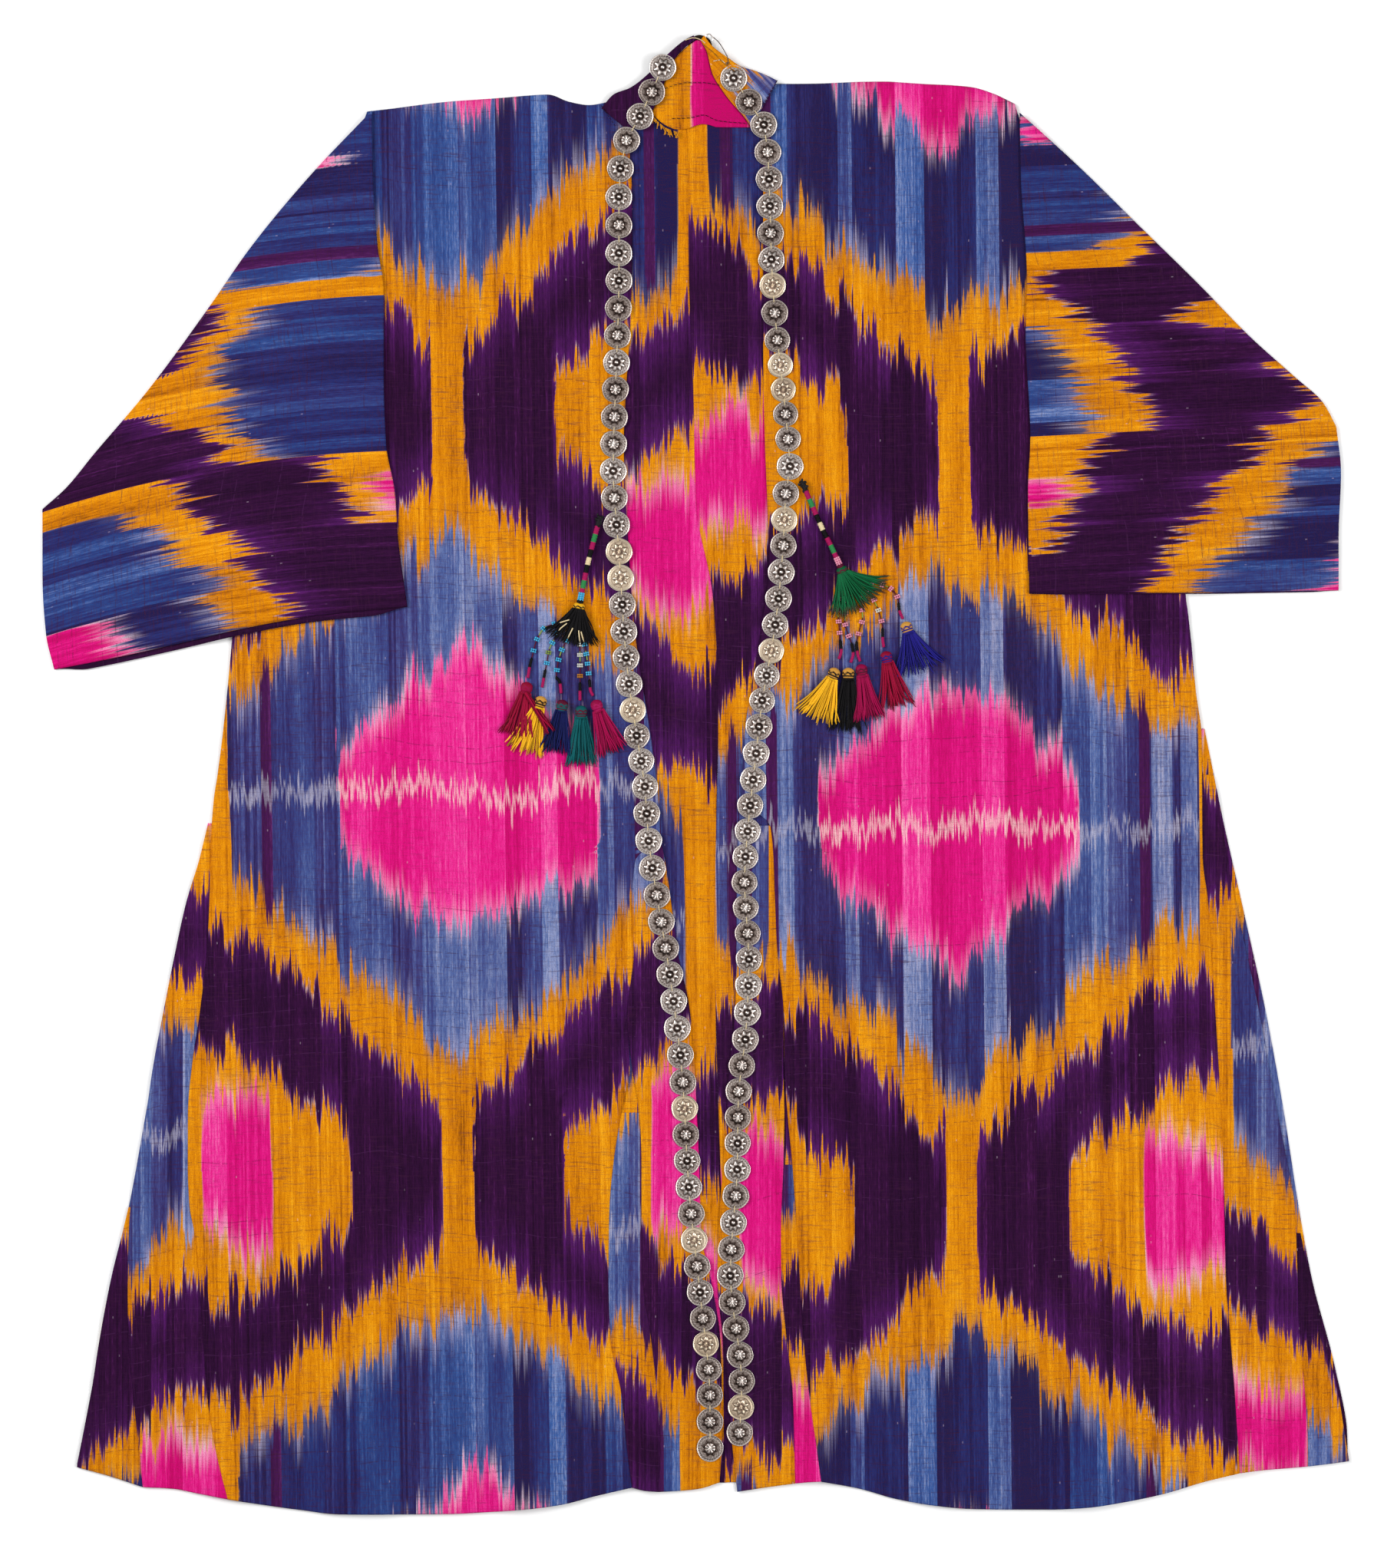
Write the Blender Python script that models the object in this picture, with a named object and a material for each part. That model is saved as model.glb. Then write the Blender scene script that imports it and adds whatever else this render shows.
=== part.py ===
"""Ikat robe (chapan) laid flat on its back, front open, with two chains of stamped discs.

The robe lies on the plane z = 0, collar towards +Y and hem towards -Y. X and Y are zero at the
middle of its outline. Every cloth piece is a wall: the back lies on the plane, the front lies on
the back, each sleeve tube laps over the front and runs down to the plane outside it, and the
collar, the disc chains and the tassels lie on the front. Outlines are short tables of points in
millimetres, joined by smooth curves. All meshes are in metres.
"""
import math

import bmesh
import bpy
import numpy as np

# ---------------------------------------------------------------- driving dimensions, in mm
MM = 0.001
CLOTH = 1.2            # wall of every cloth piece
GAP = 0.3              # clearance between pieces that touch or are sewn together
SEAM = 0.2             # each panel stops this far short of its seam
BACK_TOP = CLOTH
FRONT_BASE = BACK_TOP + GAP
FRONT_TOP = FRONT_BASE + CLOTH
SHOULDER_TURN = 1.3    # the front turns down over this much of the shoulder fold

OUTLINE_CENTRE = (0.9, 0.25)      # middle of the outline tables' box, moved to X = Y = 0

SLEEVE_BASE = FRONT_TOP + GAP
SLEEVE_THICK = 2 * CLOTH + GAP
SLEEVE_SLOPE_START = 5.0    # the sleeve starts down this far outside the hidden body edge
SLEEVE_SLOPE_END = 36.0     # and lies on the plane this far outside it

COLLAR_BASE = FRONT_TOP + GAP
COLLAR_TOP = COLLAR_BASE + CLOTH
COLLAR_RISE = 4.0           # the collar stands this much higher at its peak
COLLAR_FOOT_Y = 558.0
COLLAR_PEAK_Y = 624.0
BAND_START_Y = 526.0        # the discs climb onto the collar band between these heights
BAND_FULL_Y = 542.0

DISC_COUNT = 53
DISC_RADIUS = 10.4
DISC_RIM = 1.0
DISC_DOME = 2.2
DISC_DOME_SHARE = 0.45
LINK_HALF_ANGLE = math.radians(6.0)
RIM_POINTS = 12
FLANK_POINTS = 4

STRING_HALF = 0.8
STRAND_THICK = 0.8
STRAND_TIP_WIDTH = 0.9
STRAND_ROOT_FILL = 0.72
TASSEL_STRANDS = 12
SKIRT_STRANDS = 20
HEAD_HALF_WIDTH = 4.9
HEAD_HALF_HEIGHT = 3.4
HEAD_LENGTH = 9.0
STEM_RADIUS = 2.2
LOW_LEVEL = FRONT_TOP + GAP         # strands of every other tassel lie lower, so fans may cross
HIGH_LEVEL = LOW_LEVEL + STRAND_THICK + 0.5
SKIRT_LEVEL = LOW_LEVEL + 2 * STRING_HALF + GAP

# ---------------------------------------------------------------- outline tables: (x, y) in mm
# Long lines run from the shoulder or tip down to the hem; edges run from -X to +X.
LEFT_MAIN_OUTER = [(-263, 565), (-302, 461), (-348, 331), (-385, 188), (-393, 97), (-402, 13), (-408, -30),
                   (-410, -72), (-411, -116), (-418, -195), (-424, -233), (-429, -293), (-429, -350),
                   (-422, -396), (-418, -444), (-411, -539), (-395, -613)]
LEFT_MAIN_INNER = [(-75, 574), (-64, 559), (-56, 533), (-53, 487), (-53, 419), (-58, 327), (-60, 279),
                   (-58, 231), (-51, 125), (-43, 69), (-33, 1), (-29, -54), (-50, -71), (-53, -109),
                   (-51, -138), (-57, -202), (-55, -248), (-62, -286), (-72, -365), (-73, -425),
                   (-71, -479), (-62, -524), (-57, -573), (-53, -604)]
LEFT_FRONT_EDGE = [(-29, -54), (-23, -84), (-16, -140), (-10, -171), (-3, -208), (0, -251), (4, -335),
                   (6, -398), (14, -428), (20, -458), (23, -514), (23, -557), (21, -602)]
LEFT_INSET_INNER = [(-53, -248), (-47, -282), (-45, -335), (-45, -381), (-43, -448), (-34, -494),
                    (-31, -539), (-29, -569), (-31, -607)]
LEFT_SIDE = [(-408, -30), (-412, -43), (-421, -78), (-432, -114), (-443, -167), (-460, -256), (-471, -327),
             (-488, -403), (-500, -452), (-507, -501), (-523, -586)]
LEFT_OUTER_SEAM = [(-472, -330), (-479, -388), (-480, -437), (-479, -486), (-475, -527), (-467, -604)]

RIGHT_MAIN_OUTER = [(271, 565), (312, 461), (364, 331), (406, 201), (416, 152), (424, 72), (429, 42),
                    (430, -71), (434, -100), (438, -160), (443, -241), (446, -293), (448, -369),
                    (450, -444), (454, -486), (461, -590)]
RIGHT_MAIN_INNER = [(70, 585), (64, 559), (58, 526), (58, 435), (58, 370), (61, 238), (64, 201), (58, 136),
                    (51, 91), (42, 32), (40, -20), (64, -43), (66, -59), (70, -150), (75, -182), (76, -248),
                    (83, -335), (88, -410), (92, -475), (96, -517), (102, -561), (107, -598)]
RIGHT_FRONT_EDGE = [(39, -23), (36, -70), (35, -180), (29, -251), (26, -300), (20, -392), (19, -442),
                    (27, -498), (30, -548), (36, -606)]
RIGHT_INSET_INNER = [(75, -248), (76, -293), (75, -335), (73, -388), (74, -452), (79, -486), (83, -524),
                     (85, -600)]
RIGHT_SIDE = [(429, 42), (435, 13), (441, -7), (452, -78), (465, -141), (479, -207), (488, -259), (500, -320),
              (518, -414), (529, -463), (540, -501), (552, -569), (554, -581)]
RIGHT_OUTER_SEAM = [(508, -366), (510, -416), (511, -456), (514, -501), (519, -556), (519, -584)]

LEFT_GORE_OUTER = [p for p in LEFT_SIDE if p[1] > -330] + LEFT_OUTER_SEAM
RIGHT_GORE_OUTER = [p for p in RIGHT_SIDE if p[1] > -366] + RIGHT_OUTER_SEAM
LEFT_GORE_INNER = [p for p in LEFT_MAIN_INNER if p[1] > -248] + LEFT_INSET_INNER
RIGHT_GORE_INNER = [p for p in RIGHT_MAIN_INNER if p[1] > -248] + RIGHT_INSET_INNER

BACK_LEFT_SIDE = [(-263, 559), (-302, 458), (-348, 328), (-385, 185), (-393, 97), (-400, 39), (-406, 13),
                  (-407, -13), (-412, -41), (-432, -114), (-443, -167), (-460, -256), (-471, -327),
                  (-488, -403), (-500, -452), (-507, -501), (-523, -584)]
BACK_LEFT_SEAM = [(-263, 559), (-302, 458), (-348, 328), (-385, 185), (-393, 97), (-399, 39), (-403, 13),
                  (-405, -13), (-406, -40), (-406, -200), (-402, -400), (-392, -610)]
BACK_RIGHT_SIDE = [(270, 559), (312, 458), (364, 328), (406, 198), (417, 150), (426, 83), (436, 12), (441, -7),
                   (455, -76), (467, -125), (479, -182), (490, -229), (504, -320), (520, -414), (531, -463),
                   (542, -501), (553, -569), (553, -579)]
BACK_RIGHT_SEAM = [(270, 559), (312, 458), (364, 328), (406, 198), (416, 150), (421, 83), (424, 40),
                   (427, -40), (430, -200), (436, -400), (446, -600)]
CENTRE_BACK = [(-9, 566), (-4, 502), (-5, 433), (-1, 320), (1, 232), (14, 167), (20, 52), (18, -48),
               (16, -84), (18, -208), (23, -384), (25, -602)]

LEFT_SHOULDER = [(-270, 564), (-247, 566), (-211, 570), (-166, 573), (-122, 576), (-107, 570), (-91, 567),
                 (-75, 570)]
RIGHT_SHOULDER = [(70, 585), (94, 585), (158, 587), (192, 585), (229, 583), (252, 577), (271, 568)]
LEFT_BACK_TOP = [(-270, 560), (-247, 562), (-211, 566), (-166, 569), (-122, 572), (-107, 566), (-91, 564),
                 (-9, 565)]
RIGHT_BACK_TOP = [(-9, 565), (50, 567), (72, 580), (94, 582), (158, 583), (192, 581), (229, 579), (252, 573),
                  (270, 564)]
LEFT_HEM = [(-523, -586), (-494, -594), (-467, -603), (-445, -604), (-407, -611), (-343, -621), (-294, -626),
            (-226, -626), (-136, -621), (-98, -615), (-57, -603), (-34, -607), (0, -605), (21, -599)]
RIGHT_HEM = [(36, -607), (84, -600), (107, -598), (131, -602), (162, -611), (200, -618), (252, -622),
             (305, -622), (361, -616), (396, -609), (426, -600), (460, -591), (524, -585), (554, -581)]
BACK_HEM = [(-523, -584), (-467, -600), (-407, -608), (-343, -618), (-260, -623), (-136, -618), (-57, -600),
            (0, -600), (84, -597), (131, -600), (200, -615), (280, -619), (361, -613), (426, -597),
            (524, -582), (554, -578)]

LEFT_SLEEVE = {
    "top": [(-273, 562), (-324, 509), (-377, 445), (-411, 396), (-464, 324), (-509, 271), (-532, 243),
            (-552, 225)],
    "bottom": [(-243, 142), (-324, 134), (-385, 123), (-437, 111), (-491, 99), (-542, 89)],
    "armhole": [(-273, 562), (-272, 505), (-268, 445), (-263, 411), (-263, 338), (-261, 279), (-254, 241),
                (-251, 201), (-243, 142)],
    "cuff": [(-552, 225), (-552, 168), (-549, 119), (-542, 89)],
}
RIGHT_SLEEVE = {
    "top": [(275, 560), (324, 516), (375, 466), (426, 416), (471, 370), (509, 336), (532, 315), (543, 295)],
    "bottom": [(283, 153), (354, 154), (418, 154), (484, 155), (545, 156)],
    "armhole": [(275, 560), (276, 505), (281, 422), (280, 373), (284, 286), (282, 240), (283, 153)],
    "cuff": [(543, 295), (547, 256), (545, 201), (545, 156)],
}

COLLAR_LEFT_OUTER = [(-79, 564), (-68, 576), (-55, 581), (-38, 594), (-22, 610), (-7, 622), (-1, 625)]
LEFT_NECK_LINE = [(-55, 544), (-46, 550), (-37, 560), (-31, 572), (-25, 587), (-19, 602), (-10, 613), (1, 622)]
RIGHT_NECK_LINE = [(5, 621), (10, 612), (15, 593), (22, 581), (31, 569), (40, 559), (48, 548)]
COLLAR_RIGHT_OUTER = [(8, 625), (14, 617), (20, 612), (30, 605), (39, 599), (49, 596), (62, 591), (70, 587)]
FACING_LEFT = [(-37, 560), (-31, 572), (-25, 587), (-19, 602), (-10, 613), (1, 621)]
FACING_LOWER = [(-37, 560), (-25, 550), (-14, 546), (-5, 547), (2, 550), (8, 551), (20, 548), (48, 548)]

# Placed discs of each chain: the disc's number from the collar down, then x and y. The discs
# between them follow the smooth curve through them.
CHAIN_COLUMNS = ("disc", "x", "y")
LEFT_CHAIN = [dict(zip(CHAIN_COLUMNS, row)) for row in (
    (0, -27, 598), (2, -46, 557), (3, -58, 537), (4, -63, 513), (5, -64, 489), (8, -64, 418),
    (12, -67, 326), (15, -69, 257), (18, -64, 189), (22, -58, 99), (25, -49, 33), (27, -42, -10),
    (29, -39, -56), (31, -32, -102), (34, -21, -169), (38, -10, -260), (42, -5, -349), (45, 2, -416),
    (47, 7, -460), (50, 13, -525), (52, 13, -570))]
RIGHT_CHAIN = [dict(zip(CHAIN_COLUMNS, row)) for row in (
    (0, 33, 589), (1, 46, 569), (2, 59, 550), (3, 62, 527), (7, 65, 436), (8, 66, 414), (10, 70, 368),
    (12, 75, 326), (14, 79, 284), (15, 81, 261), (16, 77, 238), (18, 75, 194), (20, 71, 149), (22, 65, 105),
    (24, 57, 63), (26, 52, 18), (28, 47, -26), (31, 42, -91), (34, 46, -156), (37, 43, -224),
    (39, 37, -268), (42, 36, -334), (46, 30, -424), (50, 40, -513), (52, 38, -557))]
PEAK_DISC = (4.5, 615.7)

# Heights shared by every panel's rows, so that sewn neighbours meet point to point.
FRONT_ROWS = (556, 533, 487, 430, 375, 327, 279, 231, 178, 125, 69, 32, 0, -20, -43, -56, -71, -109, -150,
              -202, -248, -286, -330, -366, -388, -425, -479, -524, -570)
BACK_ROWS = (533, 430, 327, 231, 152, 97, 39, -41, -120, -202, -286, -366, -425, -501, -556)
BACK_SHARES = (0.0, 0.25, 0.5, 0.62, 0.7, 0.85, 1.0)

# Soft folds of the front: where each starts and ends, and its half width and height at the hem.
FOLD_COLUMNS = ("x_top", "y_top", "x_hem", "y_hem", "half_width", "height")
FOLDS = [dict(zip(FOLD_COLUMNS, row)) for row in (
    (-424, -200, -400, -612, 30, 3.0),
    (-300, -240, -282, -626, 46, 2.4),
    (-160, -200, -140, -621, 44, 2.8),
    (-62, -280, -44, -606, 20, 2.6),
    (96, -260, 104, -599, 24, 2.6),
    (196, -180, 206, -618, 44, 2.4),
    (330, -240, 336, -619, 46, 2.6),
    (441, 20, 460, -591, 26, 3.2),
)]

# Hanging ornaments: the stem's route, the skirt's fan (degrees from +X) and its length.
ORNAMENTS = {
    "left": {"route": [(-80, 218), (-83, 207), (-87, 192), (-91, 176), (-94, 161), (-96, 151)],
             "fan": (-62.0, -145.0), "length": 30.0},
    "right": {"route": [(91, 248), (94, 240), (101, 224), (108, 208), (116, 192), (121, 181)],
              "fan": (-5.0, -105.0), "length": 35.0},
}
# Small tassels: string points, head centre, fan in degrees from +X, strand length and level.
TASSEL_COLUMNS = ("name", "string", "head", "fan", "length", "level")
TASSELS = [dict(zip(TASSEL_COLUMNS, row)) for row in (
    ("tassel_left_crimson_outer",
     [(-109, 134), (-122, 126), (-128, 124), (-134, 113), (-138, 98), (-140, 89), (-141, 82)],
     (-142, 74), (-87, -118), 41, HIGH_LEVEL),
    ("tassel_left_yellow",
     [(-106, 131), (-116, 122), (-118, 116), (-123, 106), (-125, 95), (-127, 85), (-129, 74)],
     (-130, 62), (-89, -126), 45, LOW_LEVEL),
    ("tassel_left_navy",
     [(-102, 129), (-109, 112), (-114, 103), (-116, 93), (-117, 83), (-114, 78), (-113, 69)],
     (-112, 59), (-84, -115), 40, HIGH_LEVEL),
    ("tassel_left_teal",
     [(-97, 128), (-96, 108), (-97, 95), (-97, 85), (-97, 74), (-97, 63)],
     (-96, 54), (-77, -104), 45, LOW_LEVEL),
    ("tassel_left_crimson_inner",
     [(-93, 128), (-92, 109), (-91, 98), (-90, 89), (-89, 79), (-88, 71), (-86, 67)],
     (-83, 59), (-57, -86), 42, HIGH_LEVEL),
    ("tassel_right_yellow",
     [(125, 161), (125, 149), (121, 139), (122, 128), (123, 115), (124, 105), (122, 98)],
     (118, 86), (-88, -138), 42, HIGH_LEVEL),
    ("tassel_right_black",
     [(129, 160), (128, 149), (127, 142), (127, 130), (129, 121), (133, 110), (134, 102), (132, 95)],
     (130, 86), (-77, -106), 48, LOW_LEVEL),
    ("tassel_right_crimson_inner",
     [(133, 161), (138, 154), (141, 144), (142, 133), (139, 121), (137, 110), (138, 102), (140, 96)],
     (141, 89), (-67, -94), 42, HIGH_LEVEL),
    ("tassel_right_crimson_outer",
     [(137, 164), (142, 161), (148, 154), (153, 145), (157, 134), (159, 123), (159, 115), (160, 108)],
     (162, 100), (-61, -93), 43, LOW_LEVEL),
    ("tassel_right_navy",
     [(140, 167), (152, 163), (165, 158), (172, 149), (173, 140), (176, 132)],
     (179, 125), (-40, -103), 41, HIGH_LEVEL),
)]

# Cloth and metal colours: linear RGB, roughness, metallic.
FINISHES = {
    "ikat_purple": ((0.05, 0.010, 0.080), 0.75, 0.0),
    "ikat_yellow": ((0.72, 0.33, 0.010), 0.75, 0.0),
    "ikat_blue": ((0.03, 0.08, 0.30), 0.75, 0.0),
    "ikat_pink": ((0.78, 0.010, 0.26), 0.75, 0.0),
    "oxidised_silver": ((0.30, 0.27, 0.24), 0.40, 1.0),
    "crimson_thread": ((0.40, 0.005, 0.040), 0.70, 0.0),
    "yellow_thread": ((0.75, 0.50, 0.035), 0.70, 0.0),
    "navy_thread": ((0.012, 0.014, 0.12), 0.70, 0.0),
    "teal_thread": ((0.0, 0.17, 0.15), 0.70, 0.0),
    "black_thread": ((0.010, 0.008, 0.010), 0.70, 0.0),
    "green_thread": ((0.010, 0.14, 0.060), 0.70, 0.0),
}


# ---------------------------------------------------------------- curves
def smooth_value(stations, values, at):
    """Value of the smooth curve through (stations, values) that never swings past its points."""
    order = np.argsort(stations)
    s = np.asarray(stations, float)[order]
    f = np.asarray(values, float)[order]
    step = np.diff(s)
    slope = np.diff(f) / step
    tangent = np.zeros(len(s))
    tangent[0], tangent[-1] = slope[0], slope[-1]
    same_way = slope[:-1] * slope[1:] > 0
    weight_a, weight_b = 2 * step[1:] + step[:-1], step[1:] + 2 * step[:-1]
    safe_a = np.where(same_way, slope[:-1], 1.0)
    safe_b = np.where(same_way, slope[1:], 1.0)
    tangent[1:-1] = np.where(same_way, (weight_a + weight_b) / (weight_a / safe_a + weight_b / safe_b), 0.0)
    at = np.clip(np.asarray(at, float), s[0], s[-1])
    cell = np.clip(np.searchsorted(s, at) - 1, 0, len(step) - 1)
    t = (at - s[cell]) / step[cell]
    rise = step[cell]
    return ((1 + 2 * t) * (1 - t) ** 2 * f[cell] + t * (1 - t) ** 2 * rise * tangent[cell]
            + t * t * (3 - 2 * t) * f[cell + 1] + t * t * (t - 1) * rise * tangent[cell + 1])


def line_x(line, y):
    """X of a long line at height y."""
    x_values, y_values = zip(*line)
    return smooth_value(y_values, x_values, y)


def edge_y(edge, x):
    """Y of a shoulder or hem edge at x."""
    x_values, y_values = zip(*edge)
    return smooth_value(x_values, y_values, x)


def along(points, share):
    """Points at the given shares (0 to 1) of the length of a smooth curve through the points."""
    table = np.asarray(points, float)
    length = np.concatenate([[0.0], np.cumsum(np.linalg.norm(np.diff(table, axis=0), axis=1))])
    at = np.asarray(share, float) * length[-1]
    return np.stack([smooth_value(length, table[:, axis], at) for axis in range(2)], axis=-1)


def smooth_step(t):
    t = np.clip(t, 0.0, 1.0)
    return t * t * (3.0 - 2.0 * t)


def patch(left, right, lower, upper, columns, rows):
    """Grid (rows + 1, columns + 1, 2) blended between four curves; row 0 follows the lower one."""
    u, v = np.meshgrid(columns, rows)
    u, v = u[..., None], v[..., None]
    low, high = along(lower, columns)[None], along(upper, columns)[None]
    west, east = along(left, rows)[:, None], along(right, rows)[:, None]
    corners = ((1 - u) * (1 - v) * low[:, :1] + u * (1 - v) * low[:, -1:]
               + (1 - u) * v * high[:, :1] + u * v * high[:, -1:])
    return (1 - v) * low + v * high + (1 - u) * west + u * east - corners


# ---------------------------------------------------------------- heights
def front_lift(x, y):
    """How far the soft folds raise the front above the back."""
    lift = np.zeros(np.broadcast(x, y).shape)
    for fold in FOLDS:
        run = (fold["y_top"] - y) / (fold["y_top"] - fold["y_hem"])
        centre = fold["x_top"] + (fold["x_hem"] - fold["x_top"]) * run
        across = np.clip(np.abs(x - centre) / fold["half_width"], 0.0, 1.0)
        lift = lift + fold["height"] * smooth_step(run) * np.cos(across * math.pi / 2) ** 2
    return lift


def collar_rise(y):
    return COLLAR_RISE * smooth_step((y - COLLAR_FOOT_Y) / (COLLAR_PEAK_Y - COLLAR_FOOT_Y))


def disc_seat(y):
    """Top of what the discs lie on: the front, or the collar band above it."""
    on_band = smooth_step((y - BAND_START_Y) / (BAND_FULL_Y - BAND_START_Y))
    return FRONT_TOP + (COLLAR_TOP - FRONT_TOP) * on_band + collar_rise(y)


# ---------------------------------------------------------------- meshes
def new_object(name, points, faces, finish):
    """One closed body, its faces pointing out, from points in mm."""
    mesh = bpy.data.meshes.new(name)
    centred = np.asarray(points) - np.array((*OUTLINE_CENTRE, 0.0))
    mesh.from_pydata([tuple(p) for p in centred * MM], [], faces)
    work = bmesh.new()
    work.from_mesh(mesh)
    bmesh.ops.recalc_face_normals(work, faces=work.faces)
    work.to_mesh(mesh)
    work.free()
    mesh.materials.append(finish_material(finish))
    thing = bpy.data.objects.new(name, mesh)
    bpy.context.scene.collection.objects.link(thing)
    return thing


def finish_material(finish):
    """The Principled material of a finish, made once."""
    material = bpy.data.materials.get(finish)
    if material is None:
        colour, roughness, metallic = FINISHES[finish]
        material = bpy.data.materials.new(finish)
        material.use_nodes = True
        shader = material.node_tree.nodes["Principled BSDF"]
        shader.inputs["Base Color"].default_value = (*colour, 1.0)
        shader.inputs["Roughness"].default_value = roughness
        shader.inputs["Metallic"].default_value = metallic
    return material


def wall(name, top, bottom, finish):
    """Closed wall between a top and a bottom grid of the same shape."""
    rows, columns = top.shape[:2]
    index = np.arange(rows * columns).reshape(rows, columns)
    under = index + rows * columns
    faces = []
    for r in range(rows - 1):
        for c in range(columns - 1):
            square = (index[r, c], index[r, c + 1], index[r + 1, c + 1], index[r + 1, c])
            faces.append(tuple(int(i) for i in square))
            faces.append(tuple(int(i) + rows * columns for i in reversed(square)))
    rim = list(index[0, :]) + list(index[1:, -1]) + list(index[-1, -2::-1]) + list(index[-2:0:-1, 0])
    for a, b in zip(rim, rim[1:] + rim[:1]):
        faces.append((int(a), int(b), int(under.flat[b]), int(under.flat[a])))
    return new_object(name, np.concatenate([top.reshape(-1, 3), bottom.reshape(-1, 3)]), faces, finish)


def stitch(loop_a, loop_b):
    """Faces between two closed loops of point numbers that run the same way round."""
    faces, a, b = [], 0, 0
    count_a, count_b = len(loop_a), len(loop_b)
    while a < count_a or b < count_b:
        here_a, here_b = loop_a[a % count_a], loop_b[b % count_b]
        if b >= count_b or (a < count_a and (a + 1) * count_b <= (b + 1) * count_a):
            faces.append((here_a, loop_a[(a + 1) % count_a], here_b))
            a += 1
        else:
            faces.append((here_a, loop_b[(b + 1) % count_b], here_b))
            b += 1
    return faces


# ---------------------------------------------------------------- cloth panels
def edge_row(left, right, edge, shares):
    """Points of a top or hem edge between two long lines."""
    y = np.full(2, float(edge[0][1]))
    for _ in range(8):
        west, east = line_x(left, y[0]) + SEAM, line_x(right, y[1]) - SEAM
        y = edge_y(edge, np.array([west, east]))
    x = west + (east - west) * shares
    return np.stack([x, edge_y(edge, x)], axis=-1)


def panel_plan(left, right, top, hem, columns, rows):
    """Plan grid of a panel: its top edge (None starts it at the first row), its rows, its hem."""
    shares = np.linspace(0.0, 1.0, columns + 1) if np.isscalar(columns) else np.asarray(columns)
    y = np.asarray(rows, float)[:, None]
    west, east = line_x(left, y) + SEAM, line_x(right, y) - SEAM
    grid = np.stack([west + (east - west) * shares, np.broadcast_to(y, (len(rows), len(shares)))], axis=-1)
    ends = [edge_row(left, right, edge, shares)[None] for edge in (top, hem) if edge is not None]
    return np.concatenate([*ends[:-1], grid, ends[-1]])


def rows_below(height, rows=FRONT_ROWS):
    """The shared rows from a height down."""
    return [y for y in rows if y <= height]


def lay(plan, height):
    """Plan grid raised to a height, as points."""
    return np.concatenate([plan, np.broadcast_to(height, plan.shape[:2])[..., None]], axis=-1)


def flat_panel(name, plan, finish):
    """Back panel: a flat wall on the plane."""
    return wall(name, lay(plan, BACK_TOP), lay(plan, 0.0), finish)


def folded_panel(name, plan, finish):
    """Front panel: a wall on the back, raised by the front's folds."""
    base = FRONT_BASE + front_lift(plan[..., 0], plan[..., 1])
    return wall(name, lay(plan, base + CLOTH), lay(plan, base), finish)


def shoulder_panel(name, left, right, top, hem, columns, finish):
    """Front panel whose top edge turns down to the plane over the shoulder fold."""
    body = panel_plan(left, right, top, hem, columns, FRONT_ROWS)
    fold = body[0]
    drop = np.array([[0.0, 0.0], [0.0, -0.5], [0.0, -SHOULDER_TURN]])
    turn_top = np.stack([lay(fold[None] + drop[0], 0.9)[0], lay(fold[None] + drop[1], 2.2)[0],
                         lay(fold[None] + drop[2], FRONT_TOP)[0]])
    turn_bottom = np.stack([lay(fold[None] + drop[0], 0.0)[0], lay(fold[None] + drop[2], 0.0)[0],
                            lay(fold[None] + drop[2] + (0.0, -0.05), FRONT_BASE)[0]])
    rest = body[1:]
    base = FRONT_BASE + front_lift(rest[..., 0], rest[..., 1])
    top_grid = np.concatenate([turn_top, lay(rest, base + CLOTH)])
    bottom_grid = np.concatenate([turn_bottom, lay(rest, base)])
    return wall(name, top_grid, bottom_grid, finish)


def line_outside(outline, body_edge, outward, offset):
    """Curve across a sleeve, a fixed distance outside the hidden body edge."""
    top = along(outline["top"], np.linspace(0.0, 0.6, 121))
    beyond = outward * (top[:, 0] - line_x(body_edge, top[:, 1])) >= offset
    beyond[:7] = False
    start = top[int(np.argmax(beyond))]
    end_y = edge_y(outline["bottom"], line_x(body_edge, 110.0) + outward * offset)
    heights = np.linspace(start[1], float(end_y), 9)[1:]
    across = line_x(body_edge, heights) + outward * offset
    return np.concatenate([start[None], np.stack([across, heights], axis=-1)])


def sleeve_sections(outline, body_edge, outward):
    """Curves across a sleeve from armhole to cuff, and the height of its underside at each."""
    inner = line_outside(outline, body_edge, outward, SLEEVE_SLOPE_START)
    outer = line_outside(outline, body_edge, outward, SLEEVE_SLOPE_END)
    shares = np.linspace(0.0, 1.0, 41)
    curves = [along(outline["armhole"], shares), along(inner, shares), along(outer, shares),
              along(outline["cuff"], shares)]
    top, bottom = np.asarray(outline["top"], float), np.asarray(outline["bottom"], float)
    sections, heights = [], []
    for k, steps in enumerate((3, 3, 5)):
        for step in range(steps + (k == 2)):
            t = step / steps
            blend = curves[k] * (1 - t) + curves[k + 1] * t
            y_top = np.interp(-outward * blend[0, 0], -outward * top[::-1, 0], top[::-1, 1])
            y_low = np.interp(-outward * blend[-1, 0], -outward * bottom[::-1, 0], bottom[::-1, 1])
            blend[:, 1] += (y_top - blend[0, 1]) * (1 - shares) + (y_low - blend[-1, 1]) * shares
            sections.append(blend)
            heights.append(SLEEVE_BASE * (1.0, 1.0 - smooth_step(t), 0.0)[k])
    return sections, heights


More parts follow.
